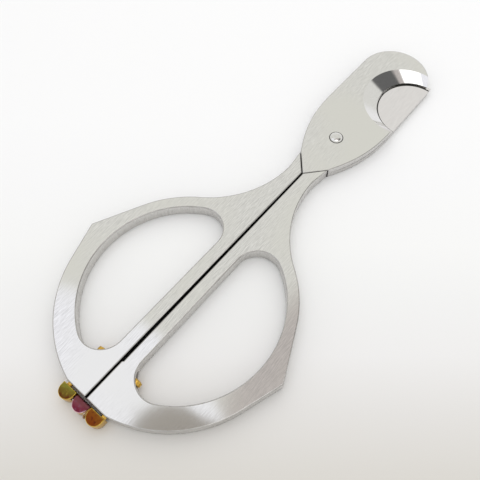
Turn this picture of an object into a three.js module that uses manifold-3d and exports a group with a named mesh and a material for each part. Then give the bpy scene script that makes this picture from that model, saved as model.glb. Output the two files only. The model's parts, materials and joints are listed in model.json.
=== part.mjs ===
// Floral snips: two looped steel handles cross at a pivot, a hook blade passes over a counter
// blade, and a small brass turn catch holds the tails of the two handles together.
//
// Units are millimetres and +Z is up. The plan is drawn with the pivot at (0, 0): +X points to the
// blades and +Y to the left handle. The whole tool is moved at the end, so that its own origin is
// the middle of its footprint, on the surface that it lies on.

import * as THREE from 'three';
import { mergeVertices } from 'three/addons/utils/BufferGeometryUtils.js';
import Module from 'manifold-3d';

const wasm = await Module();
wasm.setup();

// ---------------------------------------------------------------- driving dimensions

const THICKNESS = 4.2;                     // handle plate, and the two blades together
const MID = THICKNESS / 2;
const SHEAR_GAP = 0.2;                     // between the two blades
const RUNNING_GAP = 0.35;                  // in plan, between parts that swing past each other
const SEAT_GAP = 0.12;                     // in plan, between parts that are fixed together
const CHAMFER = 0.2;
const ARC_STEPS = 12;                      // curve divisions of an outline
const ROUND_STEPS = 28;                    // facets round a pin or a bore
const MOUTH_STEPS = 96;                    // facets round the hook's mouth

const HOOK_FLOOR = MID + SHEAR_GAP / 2;    // underside of the hook blade
const COUNTER_TOP = MID - SHEAR_GAP / 2;   // top of the counter blade
const CUT_PAST = 1;                        // how far a cutter runs past the face it cuts
const CUT_ACROSS = [[-50, 60], [-20, 20]]; // plan of a cutter that takes in a whole blade

const HANDLE = {
  tailX: -104.5,
  loopCentre: [-70.6, -1.8],
  tailRadius: 35.0,                        // loop, from the tail to the ear
  headRadius: 33.6,                        // loop, from the ear to the neck
  ear: [-70.0, 35.2],
  neckCentre: [-17.6, 36.0],
  shoulderY: 5.15,
  slitAtPivotEnd: 0.2,                     // half width of the slit
  slitAtTail: 0.45,
  stopLandLength: 12.3,
  stopLandHeight: 0.35,
};

const FINGER_HOLE = { centre: [-69.8, -0.4], radius: 28.5, chordY: 4.1, corner: 6.6 };

const HEAD = {
  apexX: -17.0,                            // point of the V at the back of each blade
  shoulder: [-10.9, 5.4],
  bulge: [[-4, 9.2], [2, 11.5], [12, 11.6]],
  endCentre: [32.4, 0.3],
  endRadius: 11.3,
};

const vSlope = (HEAD.shoulder[0] - HEAD.apexX) / HEAD.shoulder[1];
const seatShift = RUNNING_GAP - SEAT_GAP;  // a blade comes this much closer to its own handle

const HOOK_EDGE = { x: 25.7, y: -11.4, radius: 11.2 };   // cutting edge, at the foot of the bevel
const HOOK_RIM = { x: 26.0, y: -8.6, radius: 13.6 };     // top edge of the bevel
const HOOK_LAND = 0.45;                                  // upright strip under the bevel

const NOSE = {
  x: 25.7,
  y: -11.4,
  radius: 12.0,
  throatAngle: 0.6 * Math.PI,                            // where the round nose ends
  throat: [[15, 2.5], [9, 10.6], [1.5, 10.7]],           // from the nose back to the head's side
  side: [[-2.5, 10], [-6.5, 7.6]],                       // and on to the shoulder
  rightY: -11.3,
  relief: [-1.9, -1.1],                                  // how far the underside is ground back
  edgeLand: 0.4,
};

const TANG = { y: 2.55, width: 2.4, endX: -28, thickness: 1.2, inset: 0.2, play: 0.1 };
const DOWEL = {
  radius: 0.7, xs: { front: -20.5, rear: -25.2 }, overTang: 1, skin: 0.3, play: 0.05, foot: 0.05,
};

const RIVET = { radius: 1.95, dome: 0.6, headRadius: 4.0, headTop: 0.9, foot: 0.1, play: 0.1 };
const BUSH = {
  sleeve: 2.7, flange: 4.5, flangeTop: MID + 0.05, flangeThickness: 0.5, foot: 1.25, play: 0.15, under: 0.05,
};
const SPRING_WASHER = { inner: 2.15, outer: 3.8, low: 0.95, high: 1.05, thickness: 0.12 };
const COUNTERBORE = { radius: 4.2, top: 1.22 };

const LUG = { y: 5.0, width: 4.6, flatX: -105.1, endX: -108.5, low: 0.15, edge: 0.12 };
const LUG_SCREW = {
  y: 6.2, shank: 0.75, tipX: -107.1, headRadius: 1.5, headLength: 1.5, seatX: -94.2, play: 0.12,
  underHead: 0.08, slotDepth: 0.5, slotWidth: 0.45, seatBoreLength: 4, tipPlay: 0.15,
};
const AXLE = { x: -106.65, z: MID, radius: 1.0 };        // axis that the catch turns on
const JOURNAL = { radius: 1.15, endY: -5.3 };
const CATCH = { barrel: 1.88, halfHeight: 1.9, bore: 1.08 };
const BOLT = {
  tailY: -5.1, shoulderY: 2.42, grooveY: -4.3, grooveWidth: 0.95, grooveRadius: 0.55,
  neck: 0.45, headFrom: 3.95, headTo: 4.95, headLength: 2.0, headThickness: 0.8,
};
const KEYHOLE = { width: 1.25, height: 2.3, wallEnd: 3.75, chamberRadius: 1.2, chamberEnd: 5.3 };
const CROSS_PIN = { radius: 0.35, length: 2.9, foot: 0.25, play: 0.06 };
const KEEPER = { radius: 0.32, offset: 0.95, top: 3.4, foot: 0.2, play: 0.06 };
const CATCH_WASHER = { inner: 1.15, outer: 1.7, y: -2.5, thickness: 0.24 };

// ---------------------------------------------------------------- finishes

const finish = (color, roughness, metalness = 1) => () =>
  new THREE.MeshStandardMaterial({ color, roughness, metalness });
const brushedSteel = finish('#cfccc6', 0.38);
const blueSteel = finish('#b9bbbd', 0.25);
const polishedSteel = finish('#dcdcda', 0.12);
const brass = finish('#c9a227', 0.2);
const roseBrass = finish('#b3707c', 0.2);
const bronze = finish('#9c7440', 0.35);

// ---------------------------------------------------------------- joining and cutting

/** A closed three.js geometry as a manifold solid. */
function solid(geometry) {
  const bare = geometry.clone();
  bare.deleteAttribute('normal');
  bare.deleteAttribute('uv');
  const merged = mergeVertices(bare);
  return new wasm.Manifold(new wasm.Mesh({
    numProp: 3,
    vertProperties: Float32Array.from(merged.attributes.position.array),
    triVerts: Uint32Array.from(merged.index.array),
  }));
}

/** A manifold solid as a three.js geometry. */
function geometryOf(body) {
  const mesh = body.getMesh();
  const geometry = new THREE.BufferGeometry();
  geometry.setAttribute('position', new THREE.BufferAttribute(mesh.vertProperties, 3));
  geometry.setIndex(new THREE.BufferAttribute(mesh.triVerts, 1));
  return geometry;
}

const cut = (geometry, ...cutters) =>
  geometryOf(cutters.reduce((body, cutter) => body.subtract(solid(cutter)), solid(geometry)));
const join = (geometry, ...others) =>
  geometryOf(others.reduce((body, other) => body.add(solid(other)), solid(geometry)));
const common = (geometry, other) => geometryOf(solid(geometry).intersect(solid(other)));

// ---------------------------------------------------------------- plain shapes

/** A box between two values on each axis. */
function block([x0, x1], [y0, y1], [z0, z1]) {
  return new THREE.BoxGeometry(x1 - x0, y1 - y0, z1 - z0)
    .translate((x0 + x1) / 2, (y0 + y1) / 2, (z0 + z1) / 2);
}

/** A round bar along Z, from z0 to z1. */
function post(radius, z0, z1, x = 0, y = 0) {
  return new THREE.CylinderGeometry(radius, radius, z1 - z0, ROUND_STEPS)
    .rotateX(Math.PI / 2)
    .translate(x, y, (z0 + z1) / 2);
}

/** A round bar along X, from x0 to x1. */
function barAlongX(radius, x0, x1, y, z) {
  return new THREE.CylinderGeometry(radius, radius, x1 - x0, ROUND_STEPS)
    .rotateZ(Math.PI / 2)
    .translate((x0 + x1) / 2, y, z);
}

/** A round bar along Y, from y0 to y1. */
function barAlongY(radius, y0, y1, x = 0, z = 0) {
  return new THREE.CylinderGeometry(radius, radius, y1 - y0, ROUND_STEPS)
    .translate(x, (y0 + y1) / 2, z);
}

/** A plate of the given outline between two heights, with both faces chamfered. */
function plate(outline, z0, z1, chamfer = CHAMFER) {
  return new THREE.ExtrudeGeometry(outline, {
    depth: z1 - z0 - 2 * chamfer,
    curveSegments: ARC_STEPS,
    bevelEnabled: chamfer > 0,
    bevelThickness: chamfer,
    bevelSize: chamfer,
    bevelOffset: -chamfer,
    bevelSegments: 1,
  }).translate(0, 0, z0 + chamfer);
}

/** A turned shape about Z from radius and height pairs. */
function turned(profile) {
  const points = profile.map(([radius, z]) => new THREE.Vector2(radius, z));
  return new THREE.LatheGeometry(points, ROUND_STEPS).rotateX(Math.PI / 2);
}

/** A leaning cone between two circles {x, y, radius}, at heights z0 and z1. */
function leaningCone(lower, upper, z0, z1) {
  const height = z1 - z0;
  const lean = new THREE.Matrix4().makeShear(
    0, 0, 0, 0, (upper.x - lower.x) / height, (upper.y - lower.y) / height,
  );
  return new THREE.CylinderGeometry(upper.radius, lower.radius, height, MOUTH_STEPS)
    .rotateX(Math.PI / 2)
    .translate(0, 0, height / 2)
    .applyMatrix4(lean)
    .translate(lower.x, lower.y, z0);
}

/** The same geometry turned over about the X axis, in the plane half way up the plate. */
const turnedOver = (geometry) => geometry.clone().rotateX(Math.PI).translate(0, 0, THICKNESS);

// ---------------------------------------------------------------- handles

const angleOf = ([x0, y0], [x1, y1]) => Math.atan2(y1 - y0, x1 - x0);
const distance = ([x0, y0], [x1, y1]) => Math.hypot(x1 - x0, y1 - y0);

/** D-shaped finger hole: a wide arc, a straight side along the slit and two round corners. */
function fingerHole() {
  const { centre, radius, chordY, corner } = FINGER_HOLE;
  const cornerY = chordY + corner;
  const reach = Math.sqrt((radius - corner) ** 2 - (cornerY - centre[1]) ** 2);
  const lean = Math.atan2(cornerY - centre[1], reach);
  const hole = new THREE.Path();
  hole.absarc(centre[0] + reach, cornerY, corner, -Math.PI / 2, lean, false);
  hole.absarc(centre[0], centre[1], radius, lean, Math.PI - lean, false);
  hole.absarc(centre[0] - reach, cornerY, corner, Math.PI - lean, 1.5 * Math.PI, false);
  return hole;
}

/** Outline of the left handle: slit edge, V for the blade, neck, loop with its ear, and tail. */
function handleOutline(stopLand) {
  const h = HANDLE;
  const { loopCentre, ear, neckCentre } = h;
  const onV = (y) => [HEAD.apexX - RUNNING_GAP + y * vSlope, y];
  const slitAt = (x) => THREE.MathUtils.mapLinear(
    x, h.tailX, HEAD.apexX, h.slitAtTail, h.slitAtPivotEnd,
  );
  const neckAngle = angleOf(loopCentre, neckCentre);
  const neckRadius = distance(loopCentre, neckCentre) - h.headRadius;
  const earAngle = angleOf(loopCentre, ear);
  const earReach = distance(loopCentre, ear);
  const headTangent = earAngle - Math.acos(h.headRadius / earReach);
  const tailTangent = earAngle + Math.acos(h.tailRadius / earReach);
  const tailAngle = Math.PI - Math.acos((loopCentre[0] - h.tailX) / h.tailRadius);
  const landStart = h.tailX + h.stopLandLength;

  const outline = new THREE.Shape();
  outline.moveTo(h.tailX, h.slitAtTail - stopLand);
  if (stopLand > 0) {
    outline.lineTo(landStart, slitAt(landStart) - stopLand);
    outline.lineTo(landStart + stopLand, slitAt(landStart));
  }
  outline.lineTo(...onV(h.slitAtPivotEnd));
  outline.lineTo(...onV(h.shoulderY));
  outline.absarc(...neckCentre, neckRadius, -Math.PI / 2, neckAngle - Math.PI, true);
  outline.absarc(...loopCentre, h.headRadius, neckAngle, headTangent, false);
  outline.lineTo(...ear);
  outline.absarc(...loopCentre, h.tailRadius, tailTangent, tailAngle, false);
  outline.closePath();
  outline.holes.push(fingerHole());
  return outline;
}

/** Plan box of a tang or, with play, of the mortise that it sits in. */
function tangBlock(side, z0, play) {
  const y = side * TANG.y;
  const halfWidth = TANG.width / 2 + play;
  return block(
    [TANG.endX - play, HEAD.shoulder[0] - CUT_PAST],
    [y - halfWidth, y + halfWidth],
    [z0 - play, z0 + TANG.thickness + play],
  );
}

/** Height of the underside of each side's tang: the left one is low and the right one is high. */
const tangFloor = (side) =>
  (side > 0 ? COUNTER_TOP - TANG.inset - TANG.thickness : HOOK_FLOOR + TANG.inset);

/** Holes for the two dowels of one side, drilled from the underside. */
function dowelHoles(side) {
  return Object.values(DOWEL.xs).map((x) =>
    post(DOWEL.radius + DOWEL.play, -CUT_PAST, dowelTop(side) + DOWEL.play, x, side * TANG.y));
}

const dowelTop = (side) =>
  Math.min(tangFloor(side) + TANG.thickness + DOWEL.overTang, THICKNESS - DOWEL.skin);

/** Clearance bore for a lug screw, with a flat seat for its head in the finger hole. */
function screwBore(side) {
  const { shank, headRadius, seatX, seatBoreLength, play } = LUG_SCREW;
  const y = side * LUG_SCREW.y;
  return join(
    barAlongX(shank + play, HANDLE.tailX - CUT_PAST, seatX + CUT_PAST, y, MID),
    barAlongX(headRadius + play, seatX, seatX + seatBoreLength, y, MID),
  );
}

function leftHandle() {
  const blank = plate(handleOutline(0), 0, THICKNESS);
  return cut(blank, tangBlock(1, tangFloor(1), TANG.play), ...dowelHoles(1), screwBore(1));
}

function rightHandle() {
  const blank = turnedOver(plate(handleOutline(HANDLE.stopLandHeight), 0, THICKNESS));
  return cut(blank, tangBlock(-1, tangFloor(-1), TANG.play), ...dowelHoles(-1), screwBore(-1));
}

// ---------------------------------------------------------------- blades

/** Point of the V of the blade that belongs to the handle on the given side. */
const bladeApex = (side) => [HEAD.apexX - seatShift / 2, (side * seatShift) / (2 * vSlope)];

/** Shoulder of a blade against its own handle. */
const seatShoulder = (side) => [HEAD.shoulder[0] - seatShift, side * HEAD.shoulder[1]];

/** Bulging side of the head, from the shoulder towards the end. */
function bulgeOut(outline, side) {
  const [a, b, c] = HEAD.bulge;
  outline.bezierCurveTo(a[0], side * a[1], b[0], side * b[1], c[0], side * c[1]);
}

/** Hook blade outline: the whole head, before its mouth is cut. */
function hookOutline() {
  const { shoulder, endCentre, endRadius, bulge } = HEAD;
  const outline = new THREE.Shape();
  outline.moveTo(...shoulder);
  outline.lineTo(...bladeApex(-1));
  outline.lineTo(...seatShoulder(-1));
  bulgeOut(outline, -1);
  outline.absarc(...endCentre, endRadius, -Math.PI / 2, Math.PI / 2, false);
  const [a, b, c] = bulge;
  outline.lineTo(...c);
  outline.bezierCurveTo(b[0], b[1], a[0], a[1], shoulder[0], shoulder[1]);
  return outline;
}

function hookBlade() {
  const rimHeight = THICKNESS - HOOK_FLOOR - HOOK_LAND;
  const beyond = 1 + CUT_PAST / rimHeight;
  const grown = (from, to) => THREE.MathUtils.lerp(from, to, beyond);
  const overRim = {
    x: grown(HOOK_EDGE.x, HOOK_RIM.x),
    y: grown(HOOK_EDGE.y, HOOK_RIM.y),
    radius: grown(HOOK_EDGE.radius, HOOK_RIM.radius),
  };
  const bevelFoot = HOOK_FLOOR + HOOK_LAND;
  return cut(
    join(plate(hookOutline(), HOOK_FLOOR - CHAMFER, THICKNESS), tangBlock(-1, tangFloor(-1), 0)),
    block(...CUT_ACROSS, [-CUT_PAST, HOOK_FLOOR]),
    leaningCone(HOOK_EDGE, HOOK_EDGE, HOOK_FLOOR - CUT_PAST, bevelFoot),
    leaningCone(HOOK_EDGE, overRim, bevelFoot, THICKNESS + CUT_PAST),
    post(RIVET.radius + RIVET.play, 0, THICKNESS + CUT_PAST),
    ...dowelHoles(-1),
  );
}

/** Counter blade outline: the head on the right, and a round nose that closes the hook's mouth. */
function counterOutline() {
  const { shoulder } = HEAD;
  const { x, y, radius, throatAngle, throat, side, rightY } = NOSE;
  const tipAngle = Math.asin((rightY - y) / radius);
  const outline = new THREE.Shape();
  outline.moveTo(shoulder[0], -shoulder[1]);
  bulgeOut(outline, -1);
  outline.lineTo(x + radius * Math.cos(tipAngle), rightY);
  outline.absarc(x, y, radius, tipAngle, throatAngle, false);
  outline.bezierCurveTo(...throat.flat());
  outline.bezierCurveTo(...side.flat(), ...seatShoulder(1));
  outline.lineTo(...bladeApex(1));
  outline.closePath();
  return outline;
}

/** Counter blade blank: upright at its cutting edge, and ground back below it on the open side. */
function counterBlank() {
  const edgeFoot = COUNTER_TOP - NOSE.edgeLand;
  const [leanX, leanY] = NOSE.relief.map((shift) => -shift / COUNTER_TOP);
  const groundBack = plate(counterOutline(), -CUT_PAST, COUNTER_TOP, 0)
    .translate(0, 0, -COUNTER_TOP)
    .applyMatrix4(new THREE.Matrix4().makeShear(0, 0, 0, 0, leanX, leanY))
    .translate(0, 0, COUNTER_TOP);
  const kept = join(groundBack, block(...CUT_ACROSS, [edgeFoot, THICKNESS]));
  return cut(
    common(plate(counterOutline(), 0, COUNTER_TOP + CHAMFER), kept),
    block(...CUT_ACROSS, [COUNTER_TOP, THICKNESS]),
  );
}

function counterBlade() {
  return cut(
    join(counterBlank(), tangBlock(1, tangFloor(1), 0)),
    post(COUNTERBORE.radius, -CUT_PAST, COUNTERBORE.top),
    post(BUSH.sleeve + RIVET.play, -CUT_PAST, THICKNESS),
    post(BUSH.flange + BUSH.play, BUSH.flangeTop - BUSH.flangeThickness - BUSH.under, THICKNESS),
    ...dowelHoles(1),
  );
}

// ---------------------------------------------------------------- pivot

/** Rivet: flat head in the counterbore below, round shank, and a low dome proud of the top. */
function pivotRivet() {
  const { radius, dome, headRadius, headTop, foot } = RIVET;
  const domeSteps = 6;
  const profile = [[0, foot], [headRadius, foot], [headRadius, headTop], [radius, headTop]];
  for (let step = 0; step <= domeSteps; step += 1) {
    const angle = (step / domeSteps) * (Math.PI / 2);
    profile.push([radius * Math.cos(angle), THICKNESS + dome * Math.sin(angle)]);
  }
  profile[profile.length - 1][0] = 0;
  return turned(profile);
}

/** Flanged bush: the sleeve lines the counter blade and the flange keeps the blades apart. */
function pivotBush() {
  const { sleeve, flange, flangeTop, flangeThickness, foot } = BUSH;
  const bore = RIVET.radius + RIVET.play;
  const flangeLow = flangeTop - flangeThickness;
  return turned([
    [bore, foot], [sleeve, foot], [sleeve, flangeLow],
    [flange, flangeLow], [flange, flangeTop], [bore, flangeTop], [bore, foot],
  ]);
}

/** Coned spring washer that takes up the play over the rivet's flat head. */
function pivotSpringWasher() {
  const { inner, outer, low, high, thickness } = SPRING_WASHER;
  return turned([
    [inner, high], [outer, low], [outer, low + thickness], [inner, high + thickness], [inner, high],
  ]);
}

// ---------------------------------------------------------------- tail lugs and catch

/** D outline of a lug: flat towards the handle, round away from it. */
function lugOutline() {
  const radius = LUG.width / 2;
  const centreX = LUG.endX + radius;
  const outline = new THREE.Shape();
  outline.moveTo(LUG.flatX, -radius);
  outline.lineTo(LUG.flatX, radius);
  outline.absarc(centreX, 0, radius, Math.PI / 2, 1.5 * Math.PI, false);
  outline.closePath();
  return outline;
}

/** A lug block centred on y = 0, before it is drilled. */
const lugBlank = () => plate(lugOutline(), LUG.low, THICKNESS - LUG.low, LUG.edge);

/** Threaded hole for the lug's screw, measured from the middle of the lug. */
const lugThread = (side) => barAlongX(
  LUG_SCREW.shank + LUG_SCREW.play / 2, LUG_SCREW.tipX - LUG_SCREW.tipPlay, LUG.flatX + CUT_PAST,
  side * (LUG_SCREW.y - LUG.y), MID,
);

/** Left lug: a keyhole slot and, behind its wall, the chamber that the bolt's head turns in. */
function leftLug() {
  const { width, height, wallEnd, chamberRadius, chamberEnd } = KEYHOLE;
  const slot = block(
    [AXLE.x - width / 2, AXLE.x + width / 2],
    [-LUG.width, wallEnd - LUG.y],
    [AXLE.z - height / 2, AXLE.z + height / 2],
  );
  const chamber = barAlongY(chamberRadius, wallEnd - LUG.y, chamberEnd - LUG.y, AXLE.x, AXLE.z);
  return cut(lugBlank(), slot, chamber, lugThread(1));
}

/** Right lug: the journal of the bolt, and a hole for the keeper pin that holds it in. */
function rightLug() {
  return cut(
    lugBlank(),
    barAlongY(JOURNAL.radius, JOURNAL.endY + LUG.y, LUG.width, AXLE.x, AXLE.z),
    post(
      KEEPER.radius + KEEPER.play, -CUT_PAST, KEEPER.top + KEEPER.play,
      AXLE.x + KEEPER.offset, BOLT.grooveY + LUG.y,
    ),
    lugThread(-1),
  );
}

/** Slotted cheese-head screw along X, with its head at the high end and its seat at x = 0. */
function lugScrew() {
  const { shank, tipX, headRadius, headLength, seatX, underHead, slotDepth, slotWidth } = LUG_SCREW;
  const slot = block(
    [headLength - slotDepth, headLength + CUT_PAST],
    [-2 * headRadius, 2 * headRadius],
    [-slotWidth / 2, slotWidth / 2],
  );
  return cut(
    join(
      barAlongX(shank, tipX - seatX, headLength / 2, 0, 0),
      barAlongX(headRadius, underHead, headLength, 0, 0),
    ),
    slot,
  );
}

/** Turn piece about its own axis: a lug shape whose inner side is round, to turn by the tails. */
function catchTurn() {
  const { barrel, halfHeight, bore } = CATCH;
  const radius = LUG.width / 2;
  const blank = plate(lugOutline(), -halfHeight, halfHeight, LUG.edge).translate(-AXLE.x, 0, 0);
  const round = join(
    barAlongY(barrel, -radius, radius),
    block([LUG.endX - AXLE.x - CUT_PAST, 0], [-radius, radius], [-halfHeight, halfHeight]),
  );
  const { length, foot, play } = CROSS_PIN;
  const pinHole = post(CROSS_PIN.radius + play, -THICKNESS, foot - halfHeight + length + play);
  return cut(common(blank, round), barAlongY(bore, -THICKNESS, THICKNESS), pinHole);
}

/** Bolt about its own axis: grooved tail, shank, thin neck and the flat head that locks. */
function catchBolt() {
  const b = BOLT;
  const { radius } = AXLE;
  const flat = block(
    [-b.headThickness / 2, b.headThickness / 2],
    [b.headFrom, b.headTo],
    [-b.headLength / 2, b.headLength / 2],
  );
  const { length, foot, play } = CROSS_PIN;
  return cut(
    join(
      barAlongY(radius, b.tailY, b.grooveY - b.grooveWidth / 2),
      barAlongY(b.grooveRadius, b.tailY, b.shoulderY),
      barAlongY(radius, b.grooveY + b.grooveWidth / 2, b.shoulderY),
      barAlongY(b.neck, 0, (b.headFrom + b.headTo) / 2),
      flat,
    ),
    post(CROSS_PIN.radius + play, -THICKNESS, foot - CATCH.halfHeight + length + play),
  );
}

// ---------------------------------------------------------------- assembly

/** A named mesh at a place. */
function piece(name, geometry, material, [x, y, z] = [0, 0, 0]) {
  const mesh = new THREE.Mesh(geometry, material());
  mesh.name = name;
  mesh.position.set(x, y, z);
  return mesh;
}

/** The two dowels that pin one blade's tang in its handle. */
function dowels(name, side) {
  return Object.entries(DOWEL.xs).map(([place, x]) => piece(
    `${name}_${place}`, post(DOWEL.radius, DOWEL.foot, dowelTop(side)), polishedSteel,
    [x, side * TANG.y, 0],
  ));
}

const rightHalf = new THREE.Group();
rightHalf.add(
  piece('handle_right', rightHandle(), brushedSteel),
  piece('hook_blade', hookBlade(), brushedSteel),
  ...dowels('hook_dowel', -1),
  piece('pivot_rivet', pivotRivet(), polishedSteel),
  piece('pivot_spring_washer', pivotSpringWasher(), blueSteel),
  piece('lug_right', rightLug(), brass, [0, -LUG.y, 0]),
  piece('lug_screw_right', lugScrew(), brass, [LUG_SCREW.seatX, -LUG_SCREW.y, MID]),
  piece('keeper_pin', post(KEEPER.radius, KEEPER.foot, KEEPER.top), blueSteel,
    [AXLE.x + KEEPER.offset, BOLT.grooveY, 0]),
);

const leftHalf = new THREE.Group();
leftHalf.add(
  piece('handle_left', leftHandle(), brushedSteel),
  piece('counter_blade', counterBlade(), brushedSteel),
  ...dowels('counter_dowel', 1),
  piece('pivot_bush', pivotBush(), bronze),
  piece('lug_left', leftLug(), brass, [0, LUG.y, 0]),
  piece('lug_screw_left', lugScrew(), brass, [LUG_SCREW.seatX, LUG_SCREW.y, MID]),
);

const turnCatch = new THREE.Group();
turnCatch.position.set(AXLE.x, 0, AXLE.z);
const pinFoot = CROSS_PIN.foot - CATCH.halfHeight;
turnCatch.add(
  piece('catch_turn', catchTurn(), roseBrass),
  piece('catch_bolt', catchBolt(), polishedSteel),
  piece('catch_cross_pin', post(CROSS_PIN.radius, pinFoot, pinFoot + CROSS_PIN.length), blueSteel),
  piece('catch_washer', new THREE.LatheGeometry([
    new THREE.Vector2(CATCH_WASHER.inner, 0),
    new THREE.Vector2(CATCH_WASHER.outer, 0),
    new THREE.Vector2(CATCH_WASHER.outer, CATCH_WASHER.thickness),
    new THREE.Vector2(CATCH_WASHER.inner, CATCH_WASHER.thickness),
    new THREE.Vector2(CATCH_WASHER.inner, 0),
  ], ROUND_STEPS), bronze, [0, CATCH_WASHER.y - CATCH_WASHER.thickness / 2, 0]),
);

const snips = new THREE.Group();
const middleX = (HEAD.endCentre[0] + HEAD.endRadius + LUG.endX) / 2;
snips.position.set(-middleX, 0, 0);
snips.add(rightHalf, leftHalf, turnCatch);

export default snips;
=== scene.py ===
"""Floral snips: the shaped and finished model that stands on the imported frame.

Two looped steel handles cross at a rivet, a hook blade passes over a counter blade, and a small
turn catch of tinted brass holds the tails of the handles together. Each shape is drawn in
millimetres with the rivet at (0, 0), +X to the blades, +Y to the left handle and z = 0 on the
surface that the snips lie on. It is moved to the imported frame, in metres, when it is finished.
"""

import json
import logging
import math
from collections.abc import Iterable, Sequence
from dataclasses import dataclass, field
from enum import Enum

import bpy
from bpy.types import Material, Mesh, Node, NodeSocket, NodeTree, Object
from mathutils import Matrix, Vector
from mathutils.geometry import tessellate_polygon

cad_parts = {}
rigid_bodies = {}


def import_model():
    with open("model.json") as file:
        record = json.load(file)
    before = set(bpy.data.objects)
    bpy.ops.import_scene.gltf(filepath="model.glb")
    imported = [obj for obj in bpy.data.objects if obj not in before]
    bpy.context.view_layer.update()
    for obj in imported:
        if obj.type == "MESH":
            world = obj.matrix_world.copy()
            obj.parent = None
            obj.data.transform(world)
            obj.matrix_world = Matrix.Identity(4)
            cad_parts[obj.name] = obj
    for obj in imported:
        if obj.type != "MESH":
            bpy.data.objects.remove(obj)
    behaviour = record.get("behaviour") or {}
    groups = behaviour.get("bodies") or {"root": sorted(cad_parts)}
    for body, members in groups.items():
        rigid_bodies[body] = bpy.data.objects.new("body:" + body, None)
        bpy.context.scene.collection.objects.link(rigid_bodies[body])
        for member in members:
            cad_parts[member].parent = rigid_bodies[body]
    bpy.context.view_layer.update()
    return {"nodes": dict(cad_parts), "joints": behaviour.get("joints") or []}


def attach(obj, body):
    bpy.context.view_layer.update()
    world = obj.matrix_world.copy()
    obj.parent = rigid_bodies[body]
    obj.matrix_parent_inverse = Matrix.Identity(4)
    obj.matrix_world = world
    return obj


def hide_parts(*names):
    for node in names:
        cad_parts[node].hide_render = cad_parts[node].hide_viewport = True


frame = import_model()

log = logging.getLogger("floral_snips")

Point = tuple[float, float]
Loop = list[Point]
Span = tuple[float, float]

MM = 0.001                          # metres in a millimetre

# Sizes that several pieces share, in millimetres.
THICKNESS = 4.2                     # handle plate, and the two blades together
MID = THICKNESS / 2
RUNNING_GAP = 0.35                  # in plan, between parts that swing past each other
SEAT_GAP = 0.12                     # in plan, between parts that are fixed together
HOOK_FLOOR = MID + 0.1              # underside of the hook blade
COUNTER_TOP = MID - 0.1             # top of the counter blade
CUT_PAST = 1.0                      # how far a tool runs past the face that it cuts
WHOLE_BLADE = ((-50.0, 60.0), (-20.0, 20.0))   # plan of a block that takes in a whole blade
SHOULDER_UNSHADED = 1.5                # the V's walls take no painted shade this near to its ends
SLIT_REACH = 1.0                    # a wall nearer than this to the middle line is the slit's, and takes painted shade

# Fineness of the meshes.
ARC_STEP = 0.8                      # longest side of a curve's polygon, mm
ARC_TURN = math.radians(7.5)        # largest turn between two sides
CURVE_STEPS = 24                    # sides of a free curve
EDGE_STEPS = 4                      # faces round a rounded edge
LIP = 0.02                          # flat strip beside a rounded edge, mm
MAX_MITRE = 2.0                     # a pointed corner moves inwards by at most this many offsets
SAME_POINT = 0.005                  # points nearer than this are one, mm
ROUND_STEPS = 48                    # faces round a pin or a bore
SHARP_EDGE = math.radians(28)       # a steeper edge shows as an edge
FLAT_FACE = 0.5                     # a face whose normal rises more than this is a flat of the plate
BRUSH_UV = "brush"                  # UV layer whose U runs across the brush lines

# Noise lies mostly near 0.5, so each pattern spreads a window of it over its own range.
STREAK_WINDOW = (0.35, 0.65)
GRAIN_WINDOW = (0.35, 0.68)
CLOUD_WINDOW = (0.4, 0.65)
FLECK_WINDOW = (0.56, 0.68)
GLOSS_WINDOW = (0.3, 0.7)
FINE_DETAIL = 4.0                   # octaves of a pattern with fine detail
FLECK_DETAIL = 3.0
SOFT_DETAIL = 2.0
STREAK_CONTRAST = 0.65              # share that each octave keeps of the one before it
GRAIN_CONTRAST = 0.6

# Sockets of Blender's Mix node when it mixes colours.
MIX_A = 6
MIX_B = 7
MIX_RESULT = 2


class Side(Enum):
    """Which half of the snips a piece belongs to, as the sign of its Y."""

    LEFT = 1
    RIGHT = -1

    @property
    def word(self) -> str:
        """The side's name in lower case."""
        return self.name.lower()

    @property
    def body(self) -> str:
        """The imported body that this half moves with."""
        return f"{self.word}_half"


class Work(Enum):
    """What a tool does to a blank."""

    CUT = "DIFFERENCE"
    JOIN = "UNION"
    KEEP_COMMON = "INTERSECT"


class Skin(Enum):
    """The kinds of surface that a plate has."""

    FLAT = 0
    EDGE = 1
    WALL = 2
    # Walls of the slit and the V, which take a dark material: painted shade.
    SLIT_WALL = 3


# ---------------------------------------------------------------- plan drawing

def arc(centre: Point, radius: float, start: float, end: float) -> Loop:
    """Draws a circular arc.

    Args:
        centre: Middle of the circle.
        radius: Its radius.
        start: First angle, in radians.
        end: Last angle, smaller than the first for a clockwise arc.

    Returns:
        The points of the arc, both ends included.
    """
    turn = abs(end - start)
    steps = max(math.ceil(turn * radius / ARC_STEP), math.ceil(turn / ARC_TURN))
    angles = [start + (end - start) * step / steps for step in range(steps + 1)]
    return [(centre[0] + radius * math.cos(a), centre[1] + radius * math.sin(a)) for a in angles]


def circle(centre: Point, radius: float, steps: int = ROUND_STEPS) -> Loop:
    """Draws a full circle.

    Args:
        centre: Middle of the circle.
        radius: Its radius.
        steps: Number of sides.

    Returns:
        The corners, counterclockwise.
    """
    angles = [2 * math.pi * step / steps for step in range(steps)]
    return [(centre[0] + radius * math.cos(a), centre[1] + radius * math.sin(a)) for a in angles]


def curve(*poles: Point) -> Loop:
    """Draws a free curve of the third degree.

    Args:
        poles: Start, two control points and end.

    Returns:
        The points of the curve, both ends included.
    """
    drawn = []
    for step in range(CURVE_STEPS + 1):
        t = step / CURVE_STEPS
        shares = ((1 - t) ** 3, 3 * t * (1 - t) ** 2, 3 * t * t * (1 - t), t ** 3)
        drawn.append(tuple(sum(s * pole[axis] for s, pole in zip(shares, poles)) for axis in (0, 1)))
    return drawn


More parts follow.
